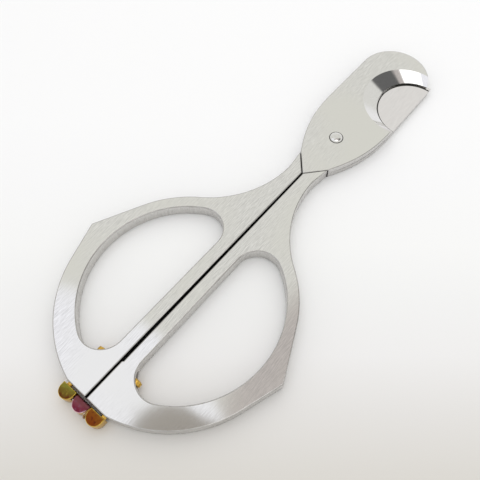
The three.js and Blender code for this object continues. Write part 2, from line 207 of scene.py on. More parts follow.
def cleaned(loop: Iterable[Point]) -> Loop:
    """Drops each point that lies on the one before it.

    Args:
        loop: A closed loop that may repeat points where its pieces meet.

    Returns:
        The loop without repeated points.
    """
    kept: Loop = []
    for point in loop:
        if not kept or math.dist(point, kept[-1]) > SAME_POINT:
            kept.append(point)
    if math.dist(kept[0], kept[-1]) <= SAME_POINT:
        kept.pop()
    return kept


def mirrored(loop: Loop) -> Loop:
    """The loop on the other side of the slit, still running the same way round."""
    return [(x, -y) for x, y in reversed(loop)]


def inset(loop: Loop, distance: float) -> Loop:
    """Moves a closed loop to its own left.

    Args:
        loop: Counterclockwise round the metal, or clockwise round a hole.
        distance: How far it moves into the metal.

    Returns:
        The moved loop, with as many points.
    """
    moved = []
    for before, here, after in zip(loop[-1:] + loop[:-1], loop, loop[1:] + loop[:1]):
        arriving = (Vector(here) - Vector(before)).normalized()
        leaving = (Vector(after) - Vector(here)).normalized()
        left = Vector((-arriving.y - leaving.y, arriving.x + leaving.x)).normalized()
        squareness = max(left.dot(Vector((-arriving.y, arriving.x))), 1 / MAX_MITRE)
        moved.append(tuple(Vector(here) + left * (distance / squareness)))
    return moved


def rounded_profile(profile: Sequence[Point], radius: float) -> Loop:
    """Rounds the inner corners of an open line.

    Args:
        profile: The line's points.
        radius: Length of straight that each rounded corner takes up.

    Returns:
        The line with its corners rounded.
    """
    line = [profile[0]]
    for before, corner, after in zip(profile, profile[1:], profile[2:]):
        middle = Vector(corner)
        reach = [min(radius, (Vector(p) - middle).length / 2) for p in (before, after)]
        start = middle + (Vector(before) - middle).normalized() * reach[0]
        end = middle + (Vector(after) - middle).normalized() * reach[1]
        for step in range(EDGE_STEPS + 1):
            t = step / EDGE_STEPS
            line.append(tuple(start.lerp(middle, t).lerp(middle.lerp(end, t), t)))
    line.append(profile[-1])
    return line


# ---------------------------------------------------------------- closed shapes

@dataclass
class Shape:
    """A closed surface in millimetres.

    Attributes:
        points: Its corners.
        faces: Corner numbers of each face.
        skins: The kind of surface of each face.
    """

    points: list[Vector] = field(default_factory=list)
    faces: list[tuple[int, ...]] = field(default_factory=list)
    skins: list[int] = field(default_factory=list)

    def add_wall(self, rings: Sequence[Sequence[int]], skins: Sequence[Skin]) -> None:
        """Joins rings of corners, each to the next.

        Args:
            rings: Corner numbers of each ring.
            skins: The kind of surface between each ring and the next.
        """
        for lower, upper, skin in zip(rings, rings[1:], skins):
            for here in range(len(lower)):
                after = (here + 1) % len(lower)
                self.faces.append((lower[here], lower[after], upper[after], upper[here]))
                self.skins.append(skin.value)

    def add_ring(self, ring: Iterable[Sequence[float]]) -> list[int]:
        """Adds corners, and returns their numbers."""
        first = len(self.points)
        self.points.extend(Vector(point) for point in ring)
        return list(range(first, len(self.points)))

    def mesh(self, materials: Sequence[Material], matrix: Matrix | None = None) -> Mesh:
        """Makes the Blender mesh.

        Args:
            materials: One material, or one for each kind of surface.
            matrix: A turn or move to apply.

        Returns:
            The mesh, in millimetres, with all its faces turned outwards.
        """
        mesh = bpy.data.meshes.new("shape")
        mesh.from_pydata([tuple(point) for point in self.points], [], self.faces)
        for material in materials:
            mesh.materials.append(material)
        for polygon, skin in zip(mesh.polygons, self.skins):
            polygon.material_index = min(skin, len(materials) - 1)
        if matrix is not None:
            mesh.transform(matrix)
        turned_out(mesh)
        return mesh


def turned_out(mesh: Mesh) -> None:
    """Flips the mesh if its faces look inwards, by the sign of the volume that they enclose."""
    volume = 0.0
    for polygon in mesh.polygons:
        corners = [mesh.vertices[v].co for v in polygon.vertices]
        for second, third in zip(corners[1:], corners[2:]):
            volume += corners[0].dot(second.cross(third))
    if volume < 0:
        mesh.flip_normals()


@dataclass(frozen=True)
class Plate:
    """A flat plate with rounded edges.

    Attributes:
        outline: Its outline, counterclockwise.
        low: Height of the underside.
        high: Height of the top.
        edge: Radius of its rounded edges.
        hole: Outline of a hole through it, counterclockwise.
        low_rounded: True if the lower edge is rounded.
        high_rounded: True if the upper edge is rounded.
    """

    outline: Loop
    low: float
    high: float
    edge: float
    hole: Loop | None = None
    low_rounded: bool = True
    high_rounded: bool = True

    def section(self) -> tuple[list[Point], list[Skin]]:
        """Draws the rim's section.

        Returns:
            Inset and height of each ring from the underside to the top, and the kind of surface
            between each ring and the next.
        """
        turns = [math.pi / 2 * step / EDGE_STEPS for step in range(EDGE_STEPS + 1)]
        quarter = [(self.edge * (1 - math.sin(a)), self.edge * (1 - math.cos(a))) for a in turns]
        low_part = quarter if self.low_rounded else [(0.0, 0.0)]
        high_part = quarter[::-1] if self.high_rounded else [(0.0, 0.0)]
        rings = [
            (low_part[0][0] + LIP, self.low),
            *((inward, self.low + rise) for inward, rise in low_part),
            *((inward, self.high - drop) for inward, drop in high_part),
            (high_part[-1][0] + LIP, self.high),
        ]
        skins = [
            Skin.FLAT,
            *([Skin.EDGE] * (len(low_part) - 1)),
            Skin.WALL,
            *([Skin.EDGE] * (len(high_part) - 1)),
            Skin.FLAT,
        ]
        return rings, skins

    def shape(self) -> Shape:
        """Returns the closed surface of the plate."""
        made = Shape()
        rings, skins = self.section()
        loops = [cleaned(self.outline)]
        if self.hole:
            loops.append(cleaned(self.hole)[::-1])
        ends: tuple[list[list[int]], list[list[int]]] = ([], [])
        for loop in loops:
            numbers = [made.add_ring((*p, height) for p in inset(loop, inward)) for inward, height in rings]
            made.add_wall(numbers, skins)
            ends[0].append(numbers[0])
            ends[1].append(numbers[-1])
        for cap, flipped in zip(ends, (True, False)):
            order = [number for ring in cap for number in ring]
            outlines = [[made.points[number] for number in ring] for ring in cap]
            for triangle in tessellate_polygon(outlines):
                corners = tuple(order[i] for i in triangle)
                a, b, c = (made.points[i] for i in corners)
                looks_up = (b - a).cross(c - a).z > 0
                made.faces.append(corners[::-1] if looks_up == flipped else corners)
                made.skins.append(Skin.FLAT.value)
        return made


def loft(rings: Sequence[Sequence[Sequence[float]]]) -> Shape:
    """Joins rings with as many corners each, and closes both ends.

    Args:
        rings: The corners of each ring, counterclockwise from the first end.

    Returns:
        The closed surface.
    """
    made = Shape()
    numbers = [made.add_ring(ring) for ring in rings]
    made.add_wall(numbers, [Skin.FLAT] * (len(rings) - 1))
    made.faces += [tuple(numbers[0][::-1]), tuple(numbers[-1])]
    made.skins += [Skin.FLAT.value] * 2
    return made


def block(xs: Span, ys: Span, zs: Span) -> Shape:
    """A box between two values on each axis."""
    plan = [(xs[0], ys[0]), (xs[1], ys[0]), (xs[1], ys[1]), (xs[0], ys[1])]
    return loft([[(*point, height) for point in plan] for height in zs])


def post(radius: float, zs: Span, centre: Point = (0.0, 0.0)) -> Shape:
    """A round bar along Z."""
    return loft([[(*point, height) for point in circle(centre, radius)] for height in zs])


def bar_along_x(radius: float, xs: Span, y: float, z: float) -> Shape:
    """A round bar along X."""
    return loft([[(x, *point) for point in circle((y, z), radius)] for x in xs])


def bar_along_y(radius: float, ys: Span, x: float, z: float) -> Shape:
    """A round bar along Y."""
    return loft([[(point[0], y, point[1]) for point in circle((x, z), radius)] for y in ys])


def cone(lower: tuple[Point, float], upper: tuple[Point, float], zs: Span, steps: int) -> Shape:
    """A cone that may lean.

    Args:
        lower: Centre and radius of the lower circle.
        upper: Centre and radius of the upper circle.
        zs: Their heights.
        steps: Number of sides.

    Returns:
        The closed surface.
    """
    ends = zip((lower, upper), zs)
    return loft([[(*point, z) for point in circle(*disc, steps)] for disc, z in ends])


def turned(profile: Sequence[Point]) -> Shape:
    """Turns a profile about Z.

    Args:
        profile: Radius and height of each point, starting and ending on the axis.

    Returns:
        The closed surface.
    """
    made = Shape()
    first = made.add_ring([(0.0, 0.0, profile[0][1])])[0]
    rings = [made.add_ring((*p, z) for p in circle((0.0, 0.0), radius)) for radius, z in profile[1:-1]]
    last = made.add_ring([(0.0, 0.0, profile[-1][1])])[0]
    made.add_wall(rings, [Skin.FLAT] * (len(rings) - 1))
    for here in range(ROUND_STEPS):
        after = (here + 1) % ROUND_STEPS
        made.faces += [(first, rings[0][after], rings[0][here]), (last, rings[-1][here], rings[-1][after])]
        made.skins += [Skin.FLAT.value] * 2
    return made


def worked(blank: Mesh, how: Work, *tools: Mesh) -> Mesh:
    """Joins, cuts or trims a blank with tools, one after another.

    Args:
        blank: The mesh to work.
        how: What the tools do to it.
        tools: Closed meshes. The surfaces that they leave take the tool's material.

    Returns:
        The worked mesh.
    """
    home = bpy.context.scene.collection.objects
    subject = bpy.data.objects.new("blank", blank)
    home.link(subject)
    helpers = []
    for tool in tools:
        helper = bpy.data.objects.new("tool", tool)
        home.link(helper)
        helpers.append(helper)
        step = subject.modifiers.new("work", "BOOLEAN")
        step.operation = how.value
        step.solver = "EXACT"
        step.material_mode = "TRANSFER"
        step.object = helper
    graph = bpy.context.evaluated_depsgraph_get()
    result = bpy.data.meshes.new_from_object(subject.evaluated_get(graph))
    for thing in (subject, *helpers):
        spent = thing.data
        bpy.data.objects.remove(thing)
        bpy.data.meshes.remove(spent)
    return result


def leave_dark(mesh: Mesh) -> None:
    """Paints shade on the walls along the slit and round the V: they take a dark material.

    Args:
        mesh: A handle or a blade, in millimetres.
    """
    head = HeadPlan()
    for polygon in mesh.polygons:
        x, y, _ = polygon.center
        in_slit = x < head.apex_x + RUNNING_GAP and abs(y) < SLIT_REACH
        in_v = head.apex_x < x + RUNNING_GAP < head.shoulder[0] - SHOULDER_UNSHADED
        faces_v = in_v and abs(y) < head.shoulder[1] * (x - head.apex_x + 2 * RUNNING_GAP) / (
            head.shoulder[0] - head.apex_x)
        # Walls in the slit, or facing into the V, take the dark material of painted shade.
        if polygon.material_index == Skin.WALL.value and (in_slit or faces_v):
            polygon.material_index = Skin.SLIT_WALL.value


# ---------------------------------------------------------------- from drawing to frame

def pivot_place() -> Vector:
    """The point that the handles turn about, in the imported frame."""
    swing = next(joint for joint in frame["joints"] if joint["name"] == "handle_swing")
    return Vector(swing["pos_m"])


def to_frame() -> Matrix:
    """The move from the drawing, in millimetres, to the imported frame, in metres."""
    place = pivot_place()
    return Matrix.Translation((place.x, place.y, 0.0)) @ Matrix.Scale(MM, 4)


def lay_brush_lines(mesh: Mesh) -> None:
    """Adds the UV layer that steers the brushed finish.

    Brush lines run along X on the flats, and along the rim on the walls.

    Args:
        mesh: A mesh in millimetres.
    """
    layer = mesh.uv_layers.new(name=BRUSH_UV)
    for polygon in mesh.polygons:
        normal = polygon.normal
        for corner in polygon.loop_indices:
            x, y, z = mesh.vertices[mesh.loops[corner].vertex_index].co
            if abs(normal.z) > FLAT_FACE:
                layer.data[corner].uv = (y, x)
            elif abs(normal.x) > abs(normal.y):
                layer.data[corner].uv = (z, y)
            else:
                layer.data[corner].uv = (z, x)


def sharpen_cuts(mesh: Mesh) -> None:
    """Makes each border of a surface that a tool left show as an edge, however flat it is.

    Args:
        mesh: A mesh whose tool surfaces have materials of their own.
    """
    first_seen: dict[tuple[int, int], int] = {}
    borders = set()
    for polygon in mesh.polygons:
        for key in polygon.edge_keys:
            across = first_seen.setdefault(key, polygon.material_index)
            if across != polygon.material_index and (
                max(across, polygon.material_index) > Skin.SLIT_WALL.value
            ):
                borders.add(key)
    for edge in mesh.edges:
        if edge.key in borders:
            edge.use_edge_sharp = True


def finish_piece(name: str, mesh: Mesh, body: str, node: str) -> Object:
    """Puts a finished mesh in the frame, in place of its plain solid.

    Args:
        name: Name of the piece.
        mesh: Its mesh, in millimetres.
        body: The body that it rides on.
        node: The plain solid that it stands for.

    Returns:
        The new object.
    """
    lay_brush_lines(mesh)
    mesh.transform(to_frame())
    mesh.shade_smooth()
    mesh.set_sharp_from_angle(angle=SHARP_EDGE)
    sharpen_cuts(mesh)
    mesh.name = name
    piece = bpy.data.objects.new(name, mesh)
    bpy.context.scene.collection.objects.link(piece)
    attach(piece, body)
    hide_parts(node)
    log.info("%s: %d faces, rides on %s, stands for %s", name, len(mesh.polygons), body, node)
    return piece


def dress_node(node: str, material: Material) -> None:
    """Gives a plain solid that stays its real finish.

    Args:
        node: Name of the solid.
        material: Its finish.
    """
    for holder in frame["nodes"][node].material_slots:
        holder.material = material
    log.info("%s: stays, in %s", node, material.name)


# ---------------------------------------------------------------- finishes

def colour(hex_code: str) -> tuple[float, float, float, float]:
    """Turns an sRGB hex value to the linear colour that shaders take.

    Args:
        hex_code: Such as "#E9E7E2".

    Returns:
        Linear red, green, blue and a full alpha.
    """
    linear = []
    for start in (1, 3, 5):
        share = int(hex_code[start:start + 2], 16) / 255
        linear.append(share / 12.92 if share <= 0.04045 else ((share + 0.055) / 1.055) ** 2.4)
    return (*linear, 1.0)


def add_node(tree: NodeTree, kind: str, inputs: dict | None = None, **settings: object) -> Node:
    """Adds one node.

    Args:
        tree: The node tree.
        kind: Blender's name for the type of node.
        inputs: For each socket, by name or number, a value or the output that feeds it.
        settings: The node's own options.

    Returns:
        The node.
    """
    node = tree.nodes.new(kind)
    for option, value in settings.items():
        setattr(node, option, value)
    connect(tree, node, inputs or {})
    return node


def connect(tree: NodeTree, node: Node, inputs: dict) -> None:
    """Sets or links a node's sockets.

    Args:
        tree: The node tree.
        node: A node in it.
        inputs: For each socket, by name or number, a value or the output that feeds it.
    """
    for socket, value in inputs.items():
        if isinstance(value, NodeSocket):
            tree.links.new(value, node.inputs[socket])
        else:
            node.inputs[socket].default_value = value


def per_metre(*sizes_mm: float) -> tuple[float, ...]:
    """How often patterns of these sizes repeat in a metre."""
    return tuple(1 / (size * MM) for size in sizes_mm)


@dataclass(frozen=True)
class BeltBrushedSteel:
    """Stainless steel, ground along the tool with a fine belt.

    The eye sees fine streaks along the tool, and reflections that are sharp along them and
    smeared across them. The real scratches are about 0.03 mm wide: they are drawn some ten times
    as coarse, so that they show.

    Attributes:
        name: Name of the material.
        pale: Colour of the steel between streaks.
        deep: Colour in the streaks.
        warm: Colour of the broad, faintly yellow clouds.
        roughness: Least and greatest roughness.
        anisotropy: How much the brushing smears a reflection across the lines.
        streak_mm: Length, width and width of a streak.
        cloud_mm: Size of the broad clouds.
        relief_mm: Depth of the streaks.
    """

    name: str = "belt-brushed stainless steel"
    pale: str = "#F4F3F1"
    deep: str = "#DAD9D7"
    warm: str = "#EAE9E4"
    roughness: Span = (0.045, 0.085)
    anisotropy: float = 0.5
    streak_mm: tuple[float, float, float] = (2.8, 0.3, 0.3)
    cloud_mm: float = 26.0
    relief_mm: float = 0.0006

    def material(self) -> Material:
        """Returns the material."""
        material = bpy.data.materials.new(self.name)
        material.use_nodes = True
        tree = material.node_tree
        place = add_node(tree, "ShaderNodeTexCoord").outputs["Object"]
        stretched = add_node(tree, "ShaderNodeMapping", {
            "Vector": place, "Scale": per_metre(*self.streak_mm),
        }).outputs["Vector"]
        streaks = add_node(tree, "ShaderNodeTexNoise", {
            "Vector": stretched, "Scale": 1.0, "Detail": FINE_DETAIL, "Roughness": STREAK_CONTRAST,
        }).outputs["Fac"]
        clouds = add_node(tree, "ShaderNodeTexNoise", {
            "Vector": place, "Scale": per_metre(self.cloud_mm)[0], "Detail": SOFT_DETAIL,
        }).outputs["Fac"]
        in_streak = add_node(tree, "ShaderNodeMapRange", {
            "Value": streaks, "From Min": STREAK_WINDOW[0], "From Max": STREAK_WINDOW[1],
        }).outputs["Result"]
        in_cloud = add_node(tree, "ShaderNodeMapRange", {
            "Value": clouds, "From Min": CLOUD_WINDOW[0], "From Max": CLOUD_WINDOW[1],
        }).outputs["Result"]
        streaked = add_node(tree, "ShaderNodeMix", {
            "Factor": in_streak, MIX_A: colour(self.pale), MIX_B: colour(self.deep),
        }, data_type="RGBA").outputs[MIX_RESULT]
        clouded = add_node(tree, "ShaderNodeMix", {
            "Factor": in_cloud, MIX_A: streaked, MIX_B: colour(self.warm),
        }, data_type="RGBA").outputs[MIX_RESULT]
        rough = add_node(tree, "ShaderNodeMapRange", {
            "Value": streaks, "From Min": GLOSS_WINDOW[0], "From Max": GLOSS_WINDOW[1],
            "To Min": self.roughness[0], "To Max": self.roughness[1],
        }).outputs["Result"]
        relief = add_node(tree, "ShaderNodeBump", {
            "Height": streaks, "Distance": self.relief_mm * MM, "Strength": 1.0,
        }).outputs["Normal"]
        across = add_node(
            tree, "ShaderNodeTangent", direction_type="UV_MAP", uv_map=BRUSH_UV,
        ).outputs["Tangent"]
        connect(tree, tree.nodes["Principled BSDF"], {
            "Base Color": clouded, "Metallic": 1.0, "Roughness": rough,
            "Anisotropic": self.anisotropy, "Tangent": across, "Normal": relief,
        })
        return material


@dataclass(frozen=True)
class FineMetal:
    """A metal surface with a fine grain: milled, honed, turned or drawn.

    Attributes:
        name: Name of the material.
        pale: Colour of most of the metal.
        deep: Colour in the grain.
        roughness: Least and greatest roughness.
        grain_mm: Size of the grain along X, Y and Z.
        relief_mm: Depth of the grain.
    """

    name: str
    pale: str
    deep: str
    roughness: Span
    grain_mm: tuple[float, float, float]
    relief_mm: float

    def material(self) -> Material:
        """Returns the material."""
        material = bpy.data.materials.new(self.name)
        material.use_nodes = True
        tree = material.node_tree
        place = add_node(tree, "ShaderNodeTexCoord").outputs["Object"]
        stretched = add_node(tree, "ShaderNodeMapping", {
            "Vector": place, "Scale": per_metre(*self.grain_mm),
        }).outputs["Vector"]
        grain = add_node(tree, "ShaderNodeTexNoise", {
            "Vector": stretched, "Scale": 1.0, "Detail": FINE_DETAIL, "Roughness": GRAIN_CONTRAST,
        }).outputs["Fac"]
        in_grain = add_node(tree, "ShaderNodeMapRange", {
            "Value": grain, "From Min": GRAIN_WINDOW[0], "From Max": GRAIN_WINDOW[1],
        }).outputs["Result"]
        grained = add_node(tree, "ShaderNodeMix", {
            "Factor": in_grain, MIX_A: colour(self.pale), MIX_B: colour(self.deep),
        }, data_type="RGBA").outputs[MIX_RESULT]
        rough = add_node(tree, "ShaderNodeMapRange", {
            "Value": grain, "From Min": GLOSS_WINDOW[0], "From Max": GLOSS_WINDOW[1],
            "To Min": self.roughness[0], "To Max": self.roughness[1],
        }).outputs["Result"]
        relief = add_node(tree, "ShaderNodeBump", {
            "Height": grain, "Distance": self.relief_mm * MM, "Strength": 1.0,
        }).outputs["Normal"]
        connect(tree, tree.nodes["Principled BSDF"], {
            "Base Color": grained, "Metallic": 1.0, "Roughness": rough, "Normal": relief,
        })
        return material


@dataclass(frozen=True)
class HeatTintedBrass:
    """Polished brass, tinted with a flame.

    The oxide film that the heat leaves shifts the yellow to other hues in soft patches, from one
    end of the piece to the other. The colours are also kept dark: painted reflection of the dark
    room in the polished faces.

    Attributes:
        name: Name of the material.
        first: Colour at the handle's end.
        second: Colour at the far end.
        fleck: Colour of small spots where the film is thicker.
        ends_mm: X of the two ends, in the drawing.
        patch_mm: Size of the soft patches.
        fleck_mm: Size of the spots.
        wander: How much the soft patches shift the change of colour.
        roughness: Least and greatest roughness.
    """

    name: str
    first: str
    second: str
    fleck: str
    ends_mm: Span = (-105.4, -107.8)
    patch_mm: float = 1.6
    fleck_mm: float = 0.7
    wander: float = 1.6
    roughness: Span = (0.12, 0.24)

    def material(self) -> Material:
        """Returns the material."""
        material = bpy.data.materials.new(self.name)
        material.use_nodes = True
        tree = material.node_tree
        place = add_node(tree, "ShaderNodeTexCoord").outputs["Object"]
        patches = add_node(tree, "ShaderNodeTexNoise", {
            "Vector": place, "Scale": per_metre(self.patch_mm)[0], "Detail": SOFT_DETAIL,
        }).outputs["Fac"]
        spots = add_node(tree, "ShaderNodeTexNoise", {
            "Vector": place, "Scale": per_metre(self.fleck_mm)[0], "Detail": FLECK_DETAIL,
        }).outputs["Fac"]
        along = add_node(tree, "ShaderNodeSeparateXYZ", {"Vector": place}).outputs["X"]
        start, end = (pivot_place().x + x * MM for x in self.ends_mm)
        heated = add_node(tree, "ShaderNodeMapRange", {
            "Value": along, "From Min": start, "From Max": end,
        }).outputs["Result"]
        wandering = add_node(tree, "ShaderNodeMath", {
            0: patches, 1: self.wander, 2: -self.wander / 2,
        }, operation="MULTIPLY_ADD")
        film = add_node(tree, "ShaderNodeMath", {
            0: heated, 1: wandering.outputs["Value"],
        }, operation="ADD", use_clamp=True).outputs["Value"]
        tinted = add_node(tree, "ShaderNodeMix", {
            "Factor": film, MIX_A: colour(self.first), MIX_B: colour(self.second),
        }, data_type="RGBA").outputs[MIX_RESULT]
        on_spot = add_node(tree, "ShaderNodeMapRange", {
            "Value": spots, "From Min": FLECK_WINDOW[0], "From Max": FLECK_WINDOW[1],
        }).outputs["Result"]
        spotted = add_node(tree, "ShaderNodeMix", {
            "Factor": on_spot, MIX_A: tinted, MIX_B: colour(self.fleck),
        }, data_type="RGBA").outputs[MIX_RESULT]
        rough = add_node(tree, "ShaderNodeMapRange", {
            "Value": spots, "From Min": GLOSS_WINDOW[0], "From Max": GLOSS_WINDOW[1],
            "To Min": self.roughness[0], "To Max": self.roughness[1],
        }).outputs["Result"]
        connect(tree, tree.nodes["Principled BSDF"], {
            "Base Color": spotted, "Metallic": 1.0, "Roughness": rough,
        })
        return material


class Finishes:
    """Every finish of the snips, made once."""

    def __init__(self) -> None:
        """Makes the materials."""
        self.brushed = BeltBrushedSteel().material()
        # The counter blade is ground flat on a stone, so it is paler and almost free of streaks.
        self.stone_ground = BeltBrushedSteel(
            "stone-ground stainless steel", "#F5F2F2", "#ECE9E9", "#F1EEEE",
            streak_mm=(3.0, 0.3, 0.3), relief_mm=0.0008,
        ).material()
        # The broken edge is grey, a thin line round each flat: painted dark reflection of the rounded edge.
        self.buffed_edge = FineMetal(
            "buffed stainless steel edge", "#C6C4C1", "#B0AEAB", (0.08, 0.14), (2.0, 2.0, 0.3), 0.0004,
        ).material()
        # The blanked wall keeps a short upright grain and is greyer than the flats.
        self.cut_wall = FineMetal(
            "blanked stainless steel wall", "#D9D7D4", "#CBC9C6", (0.2, 0.3), (0.3, 0.3, 3.0), 0.0003,
        ).material()
        # The hollow-ground bevel is finer than the flats, so it mirrors the light more crisply.
        self.honed = FineMetal(
            "honed stainless steel bevel", "#F2F1F0", "#E2E1DF", (0.04, 0.08), (0.25, 0.25, 2.0), 0.0004,
        ).material()
        # The walls along the slit and round the V are dark grey: painted shade of the narrow gap.
        self.slit_wall = FineMetal(
            "oxide-dark steel slit wall", "#4A4948", "#2E2D2C", (0.4, 0.55), (0.3, 0.3, 3.0), 0.004,
        ).material()
        # A nearly black line just inside the hook's edge: painted shade of the gap under the hook.
        self.wiped = FineMetal(
            "oil-darkened steel line", "#5A5956", "#3A3937", (0.35, 0.5), (0.5, 0.5, 0.5), 0.001,
        ).material()
        # Drilled and milled hollows are dull and darker than what is polished.
        self.machined = FineMetal(
            "machined stainless steel bore", "#A5A3A0", "#7D7B78", (0.35, 0.5), (0.5, 0.5, 0.15), 0.004,
        ).material()
        # The rivet's dome is polished after it is closed, and mirrors the room.
        self.polished = FineMetal(
            "polished stainless steel rivet", "#EFEEEB", "#E0DFDC", (0.08, 0.14), (0.6, 0.6, 0.6), 0.001,
        ).material()
        # Ground pin stock has a silky grey with faint rings.
        self.pin = FineMetal(
            "ground steel pin stock", "#C9C9C7", "#A8A8A6", (0.22, 0.32), (1.5, 1.5, 0.2), 0.001,
        ).material()
        # Tempering leaves spring steel a dull blue grey.
        self.spring = FineMetal(
            "tempered spring steel", "#8E949C", "#6B7078", (0.28, 0.4), (0.8, 0.8, 0.8), 0.001,
        ).material()
        # Bearing bronze is turned, and dulls to a brown gold.
        self.bronze = FineMetal(
            "turned bearing bronze", "#B98C52", "#8F6636", (0.25, 0.38), (1.2, 1.2, 0.15), 0.001,
        ).material()
        # The screws are turned from bare brass, brighter than the tinted pieces.
        self.screw_brass = FineMetal(
            "turned brass screw", "#E3BE62", "#C0923A", (0.16, 0.26), (0.15, 0.9, 0.9), 0.001,
        ).material()
        # The rounded edges of the tinted pieces are bright bare brass: painted highlight where they catch the
        # light.
        self.rubbed_brass = FineMetal(
            "rubbed bright brass edge", "#DDC25E", "#BC9634", (0.1, 0.18), (0.8, 0.8, 0.8), 0.001,
        ).material()
        self.rubbed_rose = FineMetal(
            "rubbed rose brass edge", "#EBD2D4", "#CE9CA6", (0.1, 0.18), (0.8, 0.8, 0.8), 0.001,
        ).material()
        # Their dark tones are partly painted reflection of the dark room in the polished faces, and their
        # hues are the tint.
        self.olive_brass = HeatTintedBrass(
            "heat-tinted brass, olive to red brown", "#7E7A30", "#5E2E18", "#8C7C34",
        ).material()
        self.amber_brass = HeatTintedBrass(
            "heat-tinted brass, amber to red brown", "#84521E", "#7B3C17", "#642E1B",
        ).material()
        self.rose_brass = HeatTintedBrass(
            "heat-tinted brass, crimson to purple", "#814A50", "#702838", "#7E5466",
        ).material()
        self.plate = (self.brushed, self.buffed_edge, self.cut_wall, self.slit_wall)
        self.counter = (self.stone_ground, self.buffed_edge, self.cut_wall, self.slit_wall)
        self.bore = (self.machined,)


# ---------------------------------------------------------------- shared joinery

@dataclass(frozen=True)
class HeadPlan:
    """Plan of the head, which both blades and the handles' ends are drawn to.

    Attributes:
        apex_x: Point of the V at the back of each blade.
        shoulder: End of the V, on the left.
        bulge: Control points and end of the side, from the shoulder on.
        end_centre: Centre of the round end.
        end_radius: Radius of the round end.
    """

    apex_x: float = -17.0
    shoulder: Point = (-10.9, 5.4)
    bulge: tuple[Point, Point, Point] = ((-4.0, 9.2), (2.0, 11.5), (12.0, 11.6))
    end_centre: Point = (32.4, 0.3)
    end_radius: float = 11.3

    @property
    def slope(self) -> float:
        """How far the V runs towards the blades for each millimetre that it opens."""
        return (self.shoulder[0] - self.apex_x) / self.shoulder[1]

    @property
    def seat_shift(self) -> float:
        """How much closer a blade lies to its own handle than to the other one."""
        return RUNNING_GAP - SEAT_GAP

    def blade_apex(self, side: Side) -> Point:
        """Point of the V of the blade that belongs to the handle on that side."""
        shift = self.seat_shift
        return (self.apex_x - shift / 2, side.value * shift / (2 * self.slope))

    def seat_shoulder(self, side: Side) -> Point:
        """Shoulder of a blade against its own handle."""
        return (self.shoulder[0] - self.seat_shift, side.value * self.shoulder[1])

    def right_side(self) -> Loop:
        """Bulging right side of the head, from its own shoulder towards the end."""
        start = self.seat_shoulder(Side.RIGHT)
        return curve(start, *((x, -y) for x, y in self.bulge))


@dataclass(frozen=True)
class Joinery:
    """How a blade is let into its handle: a tang in a mortise, held by two dowels from below.

    Attributes:
        y: Distance of the tang's middle from the slit.
        width: Width of the tang.
        end_x: Its far end.
        thickness: Its thickness.
        skin: Metal between the tang and the blade's flat face.
        play: Room round the tang.
        dowel_radius: Radius of a dowel.
        dowel_xs: Where the dowels are, the front one first.
        over_tang: How far a dowel stands over the tang.
        blind_skin: Metal left over a blind dowel hole.
        dowel_play: Room round a dowel.
        dowel_foot: Height of a dowel's lower end.
        dowel_break: Size of a dowel's broken edges.
    """

    y: float = 2.55
    width: float = 2.4
    end_x: float = -28.0
    thickness: float = 1.2
    skin: float = 0.2
    play: float = 0.1
    dowel_radius: float = 0.7
    dowel_xs: tuple[float, float] = (-20.5, -25.2)
    over_tang: float = 1.0
    blind_skin: float = 0.3
    dowel_play: float = 0.05
    dowel_foot: float = 0.05
    dowel_break: float = 0.175

    def tang_floor(self, side: Side) -> float:
        """Height of the underside of that side's tang."""
        if side is Side.LEFT:
            return COUNTER_TOP - self.skin - self.thickness
        return HOOK_FLOOR + self.skin

    def tang(self, side: Side, room: float = 0.0) -> Shape:
        """The tang or, with room round it, the mortise.

        Args:
            side: Whose tang it is.
            room: Room round it.

        Returns:
            The closed surface.
        """
        y = side.value * self.y
        reach = self.width / 2 + room
        floor = self.tang_floor(side)
        return block(
            (self.end_x - room, HeadPlan().shoulder[0] - CUT_PAST),
            (y - reach, y + reach),
            (floor - room, floor + self.thickness + room),
        )

    def dowel_top(self, side: Side) -> float:
        """Height of the upper end of that side's dowels."""
        over = self.tang_floor(side) + self.thickness + self.over_tang
        return min(over, THICKNESS - self.blind_skin)

    def dowel_holes(self, side: Side, bore: Sequence[Material]) -> list[Mesh]:
        """Tools for that side's two dowel holes.

        Args:
            side: Whose holes they are.
            bore: Finish of the holes.

        Returns:
            A round tool for each hole.
        """
        radius = self.dowel_radius + self.dowel_play
        heights = (-CUT_PAST, self.dowel_top(side) + self.dowel_play)
        return [post(radius, heights, (x, side.value * self.y)).mesh(bore) for x in self.dowel_xs]

    def dowel(self, side: Side, x: float, materials: Sequence[Material]) -> Mesh:
        """One dowel with broken edges.

        Args:
            side: Whose dowel it is.
            x: Where it is.
            materials: Its finish.

        Returns:
            The mesh.
        """
        low, high = self.dowel_foot, self.dowel_top(side)
        corners = [(0.0, low), (self.dowel_radius, low), (self.dowel_radius, high), (0.0, high)]
        profile = rounded_profile(corners, self.dowel_break)
        place = Matrix.Translation((x, side.value * self.y, 0.0))
        return turned(profile).mesh(materials, place)


# ---------------------------------------------------------------- handles

